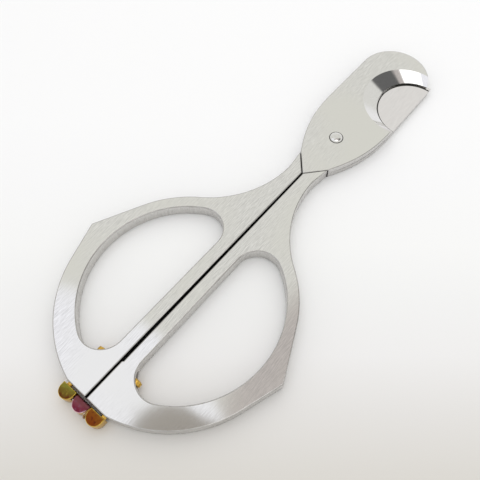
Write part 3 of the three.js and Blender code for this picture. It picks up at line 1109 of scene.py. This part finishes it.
@dataclass
class HandlePair:
    """The two looped handles, blanked from plate, each the mirror image of the other.

    Attributes:
        finishes: All finishes.
        tail_x: The flat at the tail.
        loop_centre: Centre of the loop's two outer arcs.
        tail_radius: Loop, from the tail to the ear.
        head_radius: Loop, from the ear to the neck.
        ear: Pointed corner of the loop.
        neck_centre: Centre of the hollow neck arc.
        shoulder_y: Where the neck meets the V.
        slit_ends: Half width of the slit at the pivot's end and at the tail.
        stop_land: Length and height of the land where the handles meet.
        hole_centre: Centre of the finger hole's wide arc.
        hole_radius: Its radius.
        hole_side_y: The finger hole's straight side.
        hole_corner: Radius of its two corners.
        edge: Radius of the broken edges.
        screw_y: Distance of a lug's screw from the slit.
        screw_bore: Radius of the clearance bore and of the seat for the head.
        screw_seat: X of the seat, and how far it is milled out.
    """

    finishes: Finishes
    tail_x: float = -104.5
    loop_centre: Point = (-70.6, -1.8)
    tail_radius: float = 35.0
    head_radius: float = 33.6
    ear: Point = (-70.0, 35.2)
    neck_centre: Point = (-17.6, 36.0)
    shoulder_y: float = 5.15
    slit_ends: Span = (0.2, 0.45)
    stop_land: Span = (12.3, 0.35)
    hole_centre: Point = (-69.8, -0.4)
    hole_radius: float = 28.5
    hole_side_y: float = 4.1
    hole_corner: float = 6.6
    edge: float = 0.32
    screw_y: float = 6.2
    screw_bore: Span = (0.87, 1.62)
    screw_seat: Span = (-94.2, 4.0)

    def slit(self, x: float) -> float:
        """Half width of the slit at a place along it."""
        head_x = HeadPlan().apex_x
        share = (x - self.tail_x) / (head_x - self.tail_x)
        return self.slit_ends[1] + (self.slit_ends[0] - self.slit_ends[1]) * share

    def outline(self, land: float) -> Loop:
        """Draws the left handle.

        Args:
            land: Height of the stop land, or 0 for a handle that has none.

        Returns:
            The outline, counterclockwise from the tail's inner corner.
        """
        head = HeadPlan()
        centre, ear = Vector(self.loop_centre), Vector(self.ear)
        neck = Vector(self.neck_centre) - centre
        neck_angle = math.atan2(neck.y, neck.x)
        ear_angle = math.atan2(ear.y - centre.y, ear.x - centre.x)
        ear_reach = (ear - centre).length
        head_tangent = ear_angle - math.acos(self.head_radius / ear_reach)
        tail_tangent = ear_angle + math.acos(self.tail_radius / ear_reach)
        tail_angle = math.pi - math.acos((centre.x - self.tail_x) / self.tail_radius)
        land_start = self.tail_x + self.stop_land[0]
        drawn = [(self.tail_x, self.slit_ends[1] - land)]
        if land > 0:
            drawn.append((land_start, self.slit(land_start) - land))
            drawn.append((land_start + land, self.slit(land_start)))
        for y in (self.slit_ends[0], self.shoulder_y):
            drawn.append((head.apex_x - RUNNING_GAP + y * head.slope, y))
        quarter = math.pi / 2
        neck_radius = neck.length - self.head_radius
        drawn += arc(self.neck_centre, neck_radius, -quarter, neck_angle - math.pi)
        drawn += arc(self.loop_centre, self.head_radius, neck_angle, head_tangent)
        drawn.append(self.ear)
        drawn += arc(self.loop_centre, self.tail_radius, tail_tangent, tail_angle)
        return cleaned(drawn)

    def finger_hole(self) -> Loop:
        """Draws the D-shaped finger hole of the left handle, counterclockwise."""
        x, y = self.hole_centre
        corner_y = self.hole_side_y + self.hole_corner
        reach = math.sqrt((self.hole_radius - self.hole_corner) ** 2 - (corner_y - y) ** 2)
        lean = math.atan2(corner_y - y, reach)
        quarter = math.pi / 2
        return cleaned([
            *arc((x + reach, corner_y), self.hole_corner, -quarter, lean),
            *arc((x, y), self.hole_radius, lean, math.pi - lean),
            *arc((x - reach, corner_y), self.hole_corner, math.pi - lean, 3 * quarter),
        ])

    def screw_tools(self, side: Side) -> list[Mesh]:
        """Tools for the bore and the head's seat of that side's lug screw."""
        y = side.value * self.screw_y
        seat, milled = self.screw_seat
        bore, head = self.screw_bore
        tools = (
            bar_along_x(bore, (self.tail_x - CUT_PAST, seat + CUT_PAST), y, MID),
            bar_along_x(head, (seat, seat + milled), y, MID),
        )
        return [tool.mesh(self.finishes.bore) for tool in tools]

    def build(self, side: Side) -> Object:
        """Makes one handle.

        Args:
            side: Which one.

        Returns:
            The new object.
        """
        joinery = Joinery()
        outline = self.outline(self.stop_land[1] if side is Side.RIGHT else 0.0)
        hole = self.finger_hole()
        if side is Side.RIGHT:
            outline, hole = mirrored(outline), mirrored(hole)
        blank = Plate(outline, 0.0, THICKNESS, self.edge, hole).shape().mesh(self.finishes.plate)
        mesh = worked(
            blank, Work.CUT,
            joinery.tang(side, joinery.play).mesh(self.finishes.bore),
            *joinery.dowel_holes(side, self.finishes.bore),
            *self.screw_tools(side),
        )
        leave_dark(mesh)
        node = f"handle_{side.word}"
        return finish_piece(f"{side.word}_handle_plate", mesh, side.body, node)


# ---------------------------------------------------------------- blades

@dataclass
class BladePair:
    """The hook blade, which rides over the counter blade.

    Attributes:
        finishes: All finishes.
        edge: Radius of the broken edges.
        hook_edge: Centre and radius of the cutting edge, at the foot of the bevel.
        hook_rim: Centre and radius of the bevel's top edge.
        hook_land: Upright strip under the bevel.
        mouth_steps: Sides of the hook's mouth.
        wiped_line: How far inside the edge the line of painted shade ends and starts, and its depth.
        rivet_bore: Radius of the rivet's hole.
        countersink: How far the rivet's hole is opened at the top.
        nose_centre: Centre of the counter blade's round nose.
        nose_radius: Its radius.
        nose_end: Angle where the nose ends.
        throat: Control points and end of the curve behind the nose.
        throat_side: Control points from there to the shoulder.
        nose_right_y: Where the nose starts, on the right.
        relief: How far the nose's underside is ground back.
        edge_land: Upright strip over the ground back part.
        counterbore: Radius and depth of the hollow for the rivet's head.
        sleeve_bore: Radius of the hole for the bush.
        flange_bore: Radius and floor of the hollow for the bush's flange.
    """

    finishes: Finishes
    edge: float = 0.2
    hook_edge: tuple[Point, float] = ((25.7, -11.4), 11.2)
    hook_rim: tuple[Point, float] = ((26.0, -8.6), 13.6)
    hook_land: float = 0.45
    mouth_steps: int = 144
    wiped_line: tuple[float, float, float] = (0.6, 0.16, 0.03)
    rivet_bore: float = 2.05
    countersink: float = 0.16
    nose_centre: Point = (25.7, -11.4)
    nose_radius: float = 12.0
    nose_end: float = 0.6 * math.pi
    throat: tuple[Point, Point, Point] = ((15.0, 2.5), (9.0, 10.6), (1.5, 10.7))
    throat_side: tuple[Point, Point] = ((-2.5, 10.0), (-6.5, 7.6))
    nose_right_y: float = -11.3
    relief: Point = (-1.9, -1.1)
    edge_land: float = 0.4
    counterbore: Span = (4.2, 1.22)
    sleeve_bore: float = 2.8
    flange_bore: Span = (4.65, 1.6)

    def hook_outline(self) -> Loop:
        """Draws the hook blade before its mouth is cut: the whole head."""
        head = HeadPlan()
        first, second, third = head.bulge
        quarter = math.pi / 2
        return cleaned([
            head.shoulder,
            head.blade_apex(Side.RIGHT),
            *head.right_side(),
            *arc(head.end_centre, head.end_radius, -quarter, quarter),
            *curve(third, second, first, head.shoulder),
        ])

    def hook_blade(self) -> Object:
        """Makes the hook blade, with its tang, its mouth and the rivet's hole."""
        foot = HOOK_FLOOR + self.hook_land
        beyond = 1 + CUT_PAST / (THICKNESS - foot)
        (edge, edge_radius), (rim, rim_radius) = self.hook_edge, self.hook_rim
        over = (
            tuple(Vector(edge).lerp(Vector(rim), beyond)),
            edge_radius + (rim_radius - edge_radius) * beyond,
        )
        below = HOOK_FLOOR - CUT_PAST
        bore = self.rivet_bore
        opened = ((0.0, 0.0), bore + 2 * self.countersink)
        joinery = Joinery()
        blank = Plate(
            self.hook_outline(), HOOK_FLOOR, THICKNESS, self.edge, low_rounded=False,
        ).shape().mesh(self.finishes.plate)
        tanged = worked(blank, Work.JOIN, joinery.tang(Side.RIGHT).mesh(self.finishes.bore))
        honed = (self.finishes.honed,)
        mesh = worked(
            tanged, Work.CUT,
            cone(self.hook_edge, self.hook_edge, (below, foot), self.mouth_steps).mesh(honed),
            cone(self.hook_edge, over, (foot, THICKNESS + CUT_PAST), self.mouth_steps).mesh(honed),
            post(bore, (below, THICKNESS + CUT_PAST)).mesh(self.finishes.bore),
            cone(
                ((0.0, 0.0), bore), opened,
                (THICKNESS - self.countersink, THICKNESS + self.countersink), ROUND_STEPS,
            ).mesh(self.finishes.bore),
            *joinery.dowel_holes(Side.RIGHT, self.finishes.bore),
        )
        leave_dark(mesh)
        return finish_piece("hook_blade_ground", mesh, Side.RIGHT.body, "hook_blade")

    def counter_outline(self) -> Loop:
        """Draws the counter blade: the head on the right, and the nose that closes the mouth."""
        head = HeadPlan()
        x, y = self.nose_centre
        start = math.asin((self.nose_right_y - y) / self.nose_radius)
        nose = arc((x, y), self.nose_radius, start, self.nose_end)
        right = curve((head.shoulder[0], -head.shoulder[1]), *((a, -b) for a, b in head.bulge))
        corner = (x + self.nose_radius * math.cos(start), self.nose_right_y)
        return cleaned([
            *right,
            corner,
            *nose,
            *curve(nose[-1], *self.throat),
            *curve(self.throat[-1], *self.throat_side, head.seat_shoulder(Side.LEFT)),
            head.blade_apex(Side.LEFT),
        ])

    def nose_grinder(self) -> Mesh:
        """The tool that grinds the nose's underside back below its edge."""
        outline = self.counter_outline()
        slope = (COUNTER_TOP + CUT_PAST) / COUNTER_TOP
        shift_x, shift_y = (amount * slope for amount in self.relief)
        kept = loft([
            [(x + shift_x, y + shift_y, -CUT_PAST) for x, y in outline],
            [(x, y, COUNTER_TOP) for x, y in outline],
        ])
        honed = (self.finishes.honed,)
        waste = block(*WHOLE_BLADE, (-CUT_PAST / 2, COUNTER_TOP - self.edge_land))
        return worked(waste.mesh(honed), Work.CUT, kept.mesh(honed))

    def wiping_line(self) -> Mesh:
        """The tool that scores the shallow line of painted shade on the nose, just inside the hook's edge."""
        shade_finish = (self.finishes.wiped,)
        centre, radius = self.hook_edge
        inner, outer, depth = self.wiped_line
        heights = (COUNTER_TOP - depth, COUNTER_TOP + CUT_PAST)
        disc = loft([[(*p, z) for p in circle(centre, radius - outer, self.mouth_steps)] for z in heights])
        core = loft([
            [(*p, z) for p in circle(centre, radius - inner, self.mouth_steps)]
            for z in (heights[0] - CUT_PAST, heights[1] + CUT_PAST)
        ])
        return worked(disc.mesh(shade_finish), Work.CUT, core.mesh(shade_finish))

    def counter_blade(self) -> Object:
        """Makes the counter blade, with its tang and the hollows for rivet and bush."""
        joinery = Joinery()
        blank = Plate(
            self.counter_outline(), 0.0, COUNTER_TOP, self.edge, high_rounded=False,
        ).shape().mesh(self.finishes.counter)
        ground = worked(blank, Work.CUT, self.nose_grinder())
        tanged = worked(ground, Work.JOIN, joinery.tang(Side.LEFT).mesh(self.finishes.bore))
        hollow_radius, hollow_top = self.counterbore
        flange_radius, flange_floor = self.flange_bore
        tools = (
            post(hollow_radius, (-CUT_PAST, hollow_top)),
            post(self.sleeve_bore, (-CUT_PAST, THICKNESS)),
            post(flange_radius, (flange_floor, THICKNESS)),
        )
        mesh = worked(
            tanged, Work.CUT,
            *(tool.mesh(self.finishes.bore) for tool in tools),
            *joinery.dowel_holes(Side.LEFT, self.finishes.bore),
            self.wiping_line(),
        )
        leave_dark(mesh)
        return finish_piece(
            "counter_blade_ground", mesh, Side.LEFT.body, "counter_blade",
        )

    def dowels(self) -> list[Object]:
        """Makes the four dowels that hold the tangs."""
        joinery = Joinery()
        made = []
        for side, blade in ((Side.RIGHT, "hook"), (Side.LEFT, "counter")):
            for x, place in zip(joinery.dowel_xs, ("front", "rear")):
                mesh = joinery.dowel(side, x, (self.finishes.pin,))
                node = f"{blade}_dowel_{place}"
                made.append(finish_piece(f"{node}_pin", mesh, side.body, node))
        return made


# ---------------------------------------------------------------- pivot

@dataclass
class Pivot:
    """The rivet that the halves turn on, with its bush and spring washer.

    Attributes:
        finishes: All finishes.
        shank: Radius of the shank and of the dome.
        dome: Height of the dome over the plate.
        head_radius: Radius of the flat head below.
        head_heights: Lower and upper face of the flat head.
        head_edge: Size of its broken edge.
        dome_steps: Rings of the dome.
    """

    finishes: Finishes
    shank: float = 1.95
    dome: float = 0.6
    head_radius: float = 4.0
    head_heights: Span = (0.1, 0.9)
    head_edge: float = 0.18
    dome_steps: int = 14

    def rivet(self) -> Object:
        """Makes the rivet, with a rounded head below and a low dome above."""
        low, high = self.head_heights
        head = rounded_profile([
            (0.0, low), (self.head_radius, low), (self.head_radius, high), (self.shank, high),
        ], self.head_edge)
        profile = list(head)
        for step in range(self.dome_steps + 1):
            angle = math.pi / 2 * step / self.dome_steps
            profile.append((self.shank * math.cos(angle), THICKNESS + self.dome * math.sin(angle)))
        mesh = turned(profile).mesh((self.finishes.polished,))
        return finish_piece("rivet_domed", mesh, Side.RIGHT.body, "pivot_rivet")

    def dress(self) -> None:
        """Finishes the bush and the spring washer, whose plain solids already have their shape."""
        dress_node("pivot_bush", self.finishes.bronze)
        dress_node("pivot_spring_washer", self.finishes.spring)


# ---------------------------------------------------------------- lugs and catch

@dataclass
class TailCatch:
    """Two brass lugs at the tails, and the turn piece between them that locks one to the other.

    Attributes:
        finishes: All finishes.
        lug_y: Distance of a lug's middle from the slit.
        width: Width of a lug and of the turn piece.
        flat_x: Flat side, against the handle.
        end_x: Round end.
        lug_low: Height of a lug's underside.
        edge: Radius of the rounded edges, which carry painted highlight.
        axle: X and height of the line that the catch turns on.
        journal: Radius of the journal, and Y of its end.
        barrel: Radius of the turn piece's round inner side.
        half_height: Half the turn piece's height.
        bolt_bore: Radius of the turn piece's bore.
        slot_size: Width and height of the keyhole slot.
        wall_end: Where the slot opens into the chamber.
        chamber: Radius of the chamber, and Y of its end.
        thread: Radius of a lug's threaded hole, and X of its end.
        screw_y: Distance of the screw from the slit.
        keeper: X, Y, radius and top of the keeper pin's hole.
        cross_pin: Radius and top of the cross pin's hole, up from the turn piece's underside.
        screw_shank: Radius of the screw's shank, and X of its tip.
        screw_head: Radius of the head, X of its seat and X of its end.
        screw_slot: Depth and width of the screwdriver slot.
        under_head: Gap under the head.
        screw_crown: Height of the head's chamfered crown.
        screw_break: Size of the screw's broken edges.
    """

    finishes: Finishes
    lug_y: float = 5.0
    width: float = 4.6
    flat_x: float = -105.1
    end_x: float = -108.5
    lug_low: float = 0.15
    edge: float = 0.15
    axle: Point = (-106.65, MID)
    journal: Span = (1.15, -5.3)
    barrel: float = 1.88
    half_height: float = 1.9
    bolt_bore: float = 1.08
    slot_size: Span = (1.25, 2.3)
    wall_end: float = 3.75
    chamber: Span = (1.2, 5.3)
    thread: Span = (0.81, -107.25)
    screw_y: float = 6.2
    keeper: tuple[float, float, float, float] = (-105.7, -4.3, 0.38, 3.46)
    cross_pin: Span = (0.41, 3.21)
    screw_shank: Span = (0.75, -107.1)
    screw_head: tuple[float, float, float] = (1.5, -94.2, -92.7)
    screw_slot: Span = (0.5, 0.45)
    under_head: float = 0.08
    screw_crown: float = 0.25
    screw_break: float = 0.15

    def outline(self, y: float) -> Loop:
        """Draws the D of a lug or of the turn piece, round away from the handles.

        Args:
            y: Its middle.

        Returns:
            The outline, counterclockwise.
        """
        radius = self.width / 2
        quarter = math.pi / 2
        round_end = arc((self.end_x + radius, y), radius, quarter, 3 * quarter)
        return [(self.flat_x, y - radius), (self.flat_x, y + radius), *round_end]

    def lug(self, side: Side) -> Object:
        """Makes one lug.

        Args:
            side: Which one.

        Returns:
            The new object.
        """
        finishes = self.finishes
        tinted = finishes.olive_brass if side is Side.LEFT else finishes.amber_brass
        # The rounded edges take bright brass: painted highlight.
        skins = (tinted, finishes.rubbed_brass, tinted)
        blank = Plate(
            self.outline(side.value * self.lug_y), self.lug_low, THICKNESS - self.lug_low, self.edge,
        ).shape().mesh(skins)
        radius, thread_end = self.thread
        tools = [bar_along_x(
            radius, (thread_end, self.flat_x + CUT_PAST), side.value * self.screw_y, MID,
        )]
        tools += self.keyhole() if side is Side.LEFT else self.journal_tools()
        mesh = worked(blank, Work.CUT, *(tool.mesh((finishes.screw_brass,)) for tool in tools))
        name = f"{side.word}_lug_polished"
        return finish_piece(name, mesh, side.body, f"lug_{side.word}")

    def keyhole(self) -> list[Shape]:
        """Tools for the left lug: the slot, and the chamber that the bolt's head turns in."""
        x, z = self.axle
        wide, high = self.slot_size
        radius, chamber_end = self.chamber
        return [
            block(
                (x - wide / 2, x + wide / 2),
                (self.lug_y - self.width, self.wall_end),
                (z - high / 2, z + high / 2),
            ),
            bar_along_y(radius, (self.wall_end - LIP, chamber_end), x, z),
        ]

    def journal_tools(self) -> list[Shape]:
        """Tools for the right lug: the bolt's journal, and the hole of the keeper pin."""
        x, z = self.axle
        radius, end_y = self.journal
        pin_x, pin_y, pin_radius, pin_top = self.keeper
        return [
            bar_along_y(radius, (end_y, self.width - self.lug_y), x, z),
            post(pin_radius, (-CUT_PAST, pin_top), (pin_x, pin_y)),
        ]

    def turn_piece(self) -> Object:
        """Makes the turn piece, with a round inner side so that it clears the handles."""
        finishes = self.finishes
        x, z = self.axle
        half = self.width / 2
        low, high = z - self.half_height, z + self.half_height
        # The rounded edges take pale rose brass: painted highlight.
        skins = (finishes.rose_brass, finishes.rubbed_rose, finishes.rose_brass)
        blank = Plate(self.outline(0.0), low, high, self.edge).shape().mesh(skins)
        envelope = worked(
            bar_along_y(self.barrel, (-half - CUT_PAST, half + CUT_PAST), x, z).mesh(skins[:1]),
            Work.JOIN,
            block(
                (self.end_x - CUT_PAST, x), (-half - CUT_PAST, half + CUT_PAST),
                (low - CUT_PAST, high + CUT_PAST),
            ).mesh(skins[:1]),
        )
        rounded = worked(blank, Work.KEEP_COMMON, envelope)
        pin_radius, pin_top = self.cross_pin
        mesh = worked(
            rounded, Work.CUT,
            bar_along_y(self.bolt_bore, (-half - CUT_PAST, half + CUT_PAST), x, z).mesh(
                (finishes.screw_brass,)),
            post(pin_radius, (low - CUT_PAST, low + pin_top), (x, 0.0)).mesh((finishes.screw_brass,)),
        )
        return finish_piece("turn_piece_polished", mesh, "turn_catch", "catch_turn")

    def screw(self, side: Side) -> Object:
        """Makes a slotted cheese-head screw along X.

        Args:
            side: Which lug it holds.

        Returns:
            The new object.
        """
        shank, tip = self.screw_shank
        radius, seat, end = self.screw_head
        depth, width = self.screw_slot
        corners = [
            (0.0, tip), (shank / 2, tip), (shank, tip + shank / 2), (shank, seat + self.under_head),
            (radius, seat + self.under_head), (radius, end - self.screw_crown), (radius / 2, end), (0.0, end),
        ]
        along_x = Matrix.Translation((0.0, side.value * self.screw_y, MID)) @ Matrix.Rotation(
            math.pi / 2, 4, "Y")
        brass = (self.finishes.screw_brass,)
        blank = turned(rounded_profile(corners, self.screw_break)).mesh(brass, along_x)
        slot = block(
            (-width / 2, width / 2), (-2 * radius, 2 * radius), (end - depth, end + CUT_PAST),
        ).mesh(brass, along_x)
        mesh = worked(blank, Work.CUT, slot)
        name = f"{side.word}_lug_screw_slotted"
        return finish_piece(name, mesh, side.body, f"lug_screw_{side.word}")

    def dress(self) -> None:
        """Finishes the bolt and the small pins, whose plain solids already have their shape."""
        dress_node("catch_bolt", self.finishes.polished)
        dress_node("catch_cross_pin", self.finishes.pin)
        dress_node("keeper_pin", self.finishes.pin)
        dress_node("catch_washer", self.finishes.bronze)


# ---------------------------------------------------------------- studio

@dataclass(frozen=True)
class SkyPatch:
    """A round patch of the tent.

    Attributes:
        middle: X and Y of the direction to its middle.
        radius: Its radius, in the same measure.
        tone: Its colour.
        light: How strongly it shines.
        rim: Half the width over which it fades out.
    """

    middle: Point
    radius: float
    tone: str
    light: float
    rim: float


@dataclass(frozen=True)
class Studio:
    """A pale cloth floor under a soft tent, and the camera.

    Attributes:
        camera_at: Place of the camera, in metres.
        looks_at: The point that it looks at.
        lens: Focal length, in millimetres.
        sensor: Width of the sensor, in millimetres.
        near: Nearest distance that the camera sees.
        tent: Colour of the tent's plain wall.
        patches: Lit and shaded patches of the tent, each over the ones before it.
        lamp_from: Direction to the soft key lamp.
        lamp_distance: Its distance.
        lamp_size: Its width.
        lamp_power: Its power, in watts.
        floor_half: Half the floor's width.
        floor_drop: Gap between floor and snips, so that no faces coincide.
        floor_tones: Distance from the middle of the view, away from the camera, and colour there; the colours
            darken towards the camera as painted shade.
        floor_roughness: Roughness of the cloth.
    """

    camera_at: tuple[float, float, float] = (-0.0688, -0.0475, 0.1480)
    looks_at: tuple[float, float, float] = (-0.0140, -0.0005, 0.0042)
    lens: float = 42.787
    sensor: float = 36.0
    near: float = 0.01
    tent: str = "#F7F7F8"
    patches: tuple[SkyPatch, ...] = (
        SkyPatch((0.0, 0.0), 0.92, "#E5E5E1", 1.0, 0.05),        # roof, less bright than the walls
        SkyPatch((0.25, -0.15), 0.32, "#C6C0BD", 1.0, 0.03),     # shaded side of the roof
        SkyPatch((0.49, -0.22), 0.15, "#FFFFFF", 0.14, 0.02),    # small dark gap in the tent
        SkyPatch((-0.225, 0.27), 0.358, "#F8F9FF", 1.05, 0.012),  # round panel in the roof
        SkyPatch((0.05, -0.14), 0.21, "#FFFFFF", 1.7, 0.015),    # second panel over the camera
        SkyPatch((0.02, 0.11), 0.075, "#A8A39D", 1.0, 0.01),     # arm that crosses the first panel
        SkyPatch((0.012, 0.165), 0.068, "#A8A39D", 1.0, 0.006),
    )
    lamp_from: tuple[float, float, float] = (0.50, 0.22, 0.84)
    lamp_distance: float = 0.6
    lamp_size: float = 0.8
    lamp_power: float = 1.35
    floor_half: float = 1.5
    floor_drop: float = 0.00005
    # Colours of the floor, darker near the camera: painted shade.
    floor_tones: tuple[tuple[float, str], ...] = (
        (-0.075, "#D0CCC6"), (-0.062, "#DAD7D2"), (-0.047, "#E3E1DF"), (-0.032, "#EDECEC"),
        (-0.016, "#F0F0F0"), (0.0, "#F4F4F4"), (0.022, "#F5F5F6"), (0.044, "#F6F6F7"),
        (0.101, "#F5F5F6"),
    )
    floor_roughness: float = 0.95

    def camera(self) -> Object:
        """Makes the camera and returns it."""
        data = bpy.data.cameras.new("camera")
        data.lens = self.lens
        data.sensor_width = self.sensor
        data.clip_start = self.near
        camera = bpy.data.objects.new("camera", data)
        camera.location = self.camera_at
        towards = Vector(self.looks_at) - Vector(self.camera_at)
        camera.rotation_mode = "QUATERNION"
        camera.rotation_quaternion = towards.to_track_quat("-Z", "Y")
        bpy.context.scene.collection.objects.link(camera)
        bpy.context.scene.camera = camera
        return camera

    def away(self) -> Vector:
        """The level direction away from the camera."""
        towards = Vector(self.looks_at) - Vector(self.camera_at)
        return Vector((towards.x, towards.y, 0.0)).normalized()

    def inside(self, tree: NodeTree, direction: NodeSocket, patch: SkyPatch) -> NodeSocket:
        """Marks the directions inside a patch of the sky.

        Args:
            tree: The sky's node tree.
            direction: The direction looked at.
            patch: The patch.

        Returns:
            An output that is 1 inside the patch and 0 outside.
        """
        level = add_node(tree, "ShaderNodeVectorMath", {
            0: direction, 1: (1.0, 1.0, 0.0),
        }, operation="MULTIPLY").outputs["Vector"]
        distance = add_node(tree, "ShaderNodeVectorMath", {
            0: level, 1: (*patch.middle, 0.0),
        }, operation="DISTANCE").outputs["Value"]
        near = add_node(tree, "ShaderNodeMapRange", {
            "Value": distance, "From Min": patch.radius - patch.rim,
            "From Max": patch.radius + patch.rim, "To Min": 1.0, "To Max": 0.0,
        }, interpolation_type="SMOOTHSTEP").outputs["Result"]
        height = add_node(tree, "ShaderNodeSeparateXYZ", {"Vector": direction}).outputs["Z"]
        overhead = add_node(tree, "ShaderNodeMath", {0: height, 1: 0.0}, operation="GREATER_THAN")
        return add_node(tree, "ShaderNodeMath", {
            0: near, 1: overhead.outputs["Value"],
        }, operation="MULTIPLY").outputs["Value"]

    def sky(self) -> None:
        """Makes the tent: plain, with its lit and shaded patches."""
        world = bpy.data.worlds.new("soft tent")
        world.use_nodes = True
        bpy.context.scene.world = world
        tree = world.node_tree
        direction = add_node(tree, "ShaderNodeTexCoord").outputs["Generated"]
        light: NodeSocket | tuple[float, ...] = colour(self.tent)
        for patch in self.patches:
            shine = tuple(part * patch.light for part in colour(patch.tone))
            light = add_node(tree, "ShaderNodeMix", {
                "Factor": self.inside(tree, direction, patch), MIX_A: light, MIX_B: shine,
            }, data_type="RGBA").outputs[MIX_RESULT]
        connect(tree, tree.nodes["Background"], {"Color": light, "Strength": 1.0})

    def lamp(self) -> Object:
        """Makes the soft key lamp and returns it."""
        data = bpy.data.lights.new("soft key lamp", "AREA")
        data.size = self.lamp_size
        data.energy = self.lamp_power
        lamp = bpy.data.objects.new("soft_key_lamp", data)
        direction = Vector(self.lamp_from).normalized()
        lamp.location = Vector(self.looks_at) + direction * self.lamp_distance
        lamp.rotation_mode = "QUATERNION"
        lamp.rotation_quaternion = (-direction).to_track_quat("-Z", "Y")
        lamp.visible_glossy = False
        bpy.context.scene.collection.objects.link(lamp)
        return lamp

    def floor(self) -> Object:
        """Makes the cloth floor, whose colour grows darker towards the camera as painted shade, and returns
        it.
        """
        material = bpy.data.materials.new("white cotton cloth")
        material.use_nodes = True
        tree = material.node_tree
        place = add_node(tree, "ShaderNodeTexCoord").outputs["Object"]
        away = self.away()
        depth = add_node(tree, "ShaderNodeVectorMath", {
            0: place, 1: tuple(away),
        }, operation="DOT_PRODUCT").outputs["Value"]
        middle = Vector(self.looks_at).dot(away)
        nearest, farthest = self.floor_tones[0][0], self.floor_tones[-1][0]
        share = add_node(tree, "ShaderNodeMapRange", {
            "Value": depth, "From Min": middle + nearest, "From Max": middle + farthest,
        }).outputs["Result"]
        ramp = add_node(tree, "ShaderNodeValToRGB", {"Fac": share})
        stops = ramp.color_ramp.elements
        for distance, _ in self.floor_tones[1:-1]:
            stops.new((distance - nearest) / (farthest - nearest))
        for stop, (_, tone) in zip(stops, self.floor_tones):
            stop.color = colour(tone)
        shader = tree.nodes["Principled BSDF"]
        connect(tree, shader, {
            "Base Color": ramp.outputs["Color"], "Roughness": self.floor_roughness,
            "Specular IOR Level": 0.0,
        })
        half = self.floor_half
        mesh = bpy.data.meshes.new("cloth floor")
        corners = [(-half, -half), (half, -half), (half, half), (-half, half)]
        mesh.from_pydata([(*corner, -self.floor_drop) for corner in corners], [], [(0, 1, 2, 3)])
        mesh.materials.append(material)
        floor = bpy.data.objects.new("cloth_floor", mesh)
        bpy.context.scene.collection.objects.link(floor)
        return floor

    def build(self) -> None:
        """Makes the whole studio."""
        bpy.context.scene.view_settings.view_transform = "Standard"
        self.camera()
        self.sky()
        self.lamp()
        self.floor()


# ---------------------------------------------------------------- assembly


def main() -> None:
    """Builds the snips and the studio."""
    logging.basicConfig(level=logging.INFO, format="%(name)s: %(message)s")
    finishes = Finishes()
    handles = HandlePair(finishes)
    for side in Side:
        handles.build(side)
    blades = BladePair(finishes)
    blades.hook_blade()
    blades.counter_blade()
    blades.dowels()
    pivot = Pivot(finishes)
    pivot.rivet()
    pivot.dress()
    catch = TailCatch(finishes)
    for side in Side:
        catch.lug(side)
        catch.screw(side)
    catch.turn_piece()
    catch.dress()
    Studio().build()


if __name__ == "__main__":
    main()
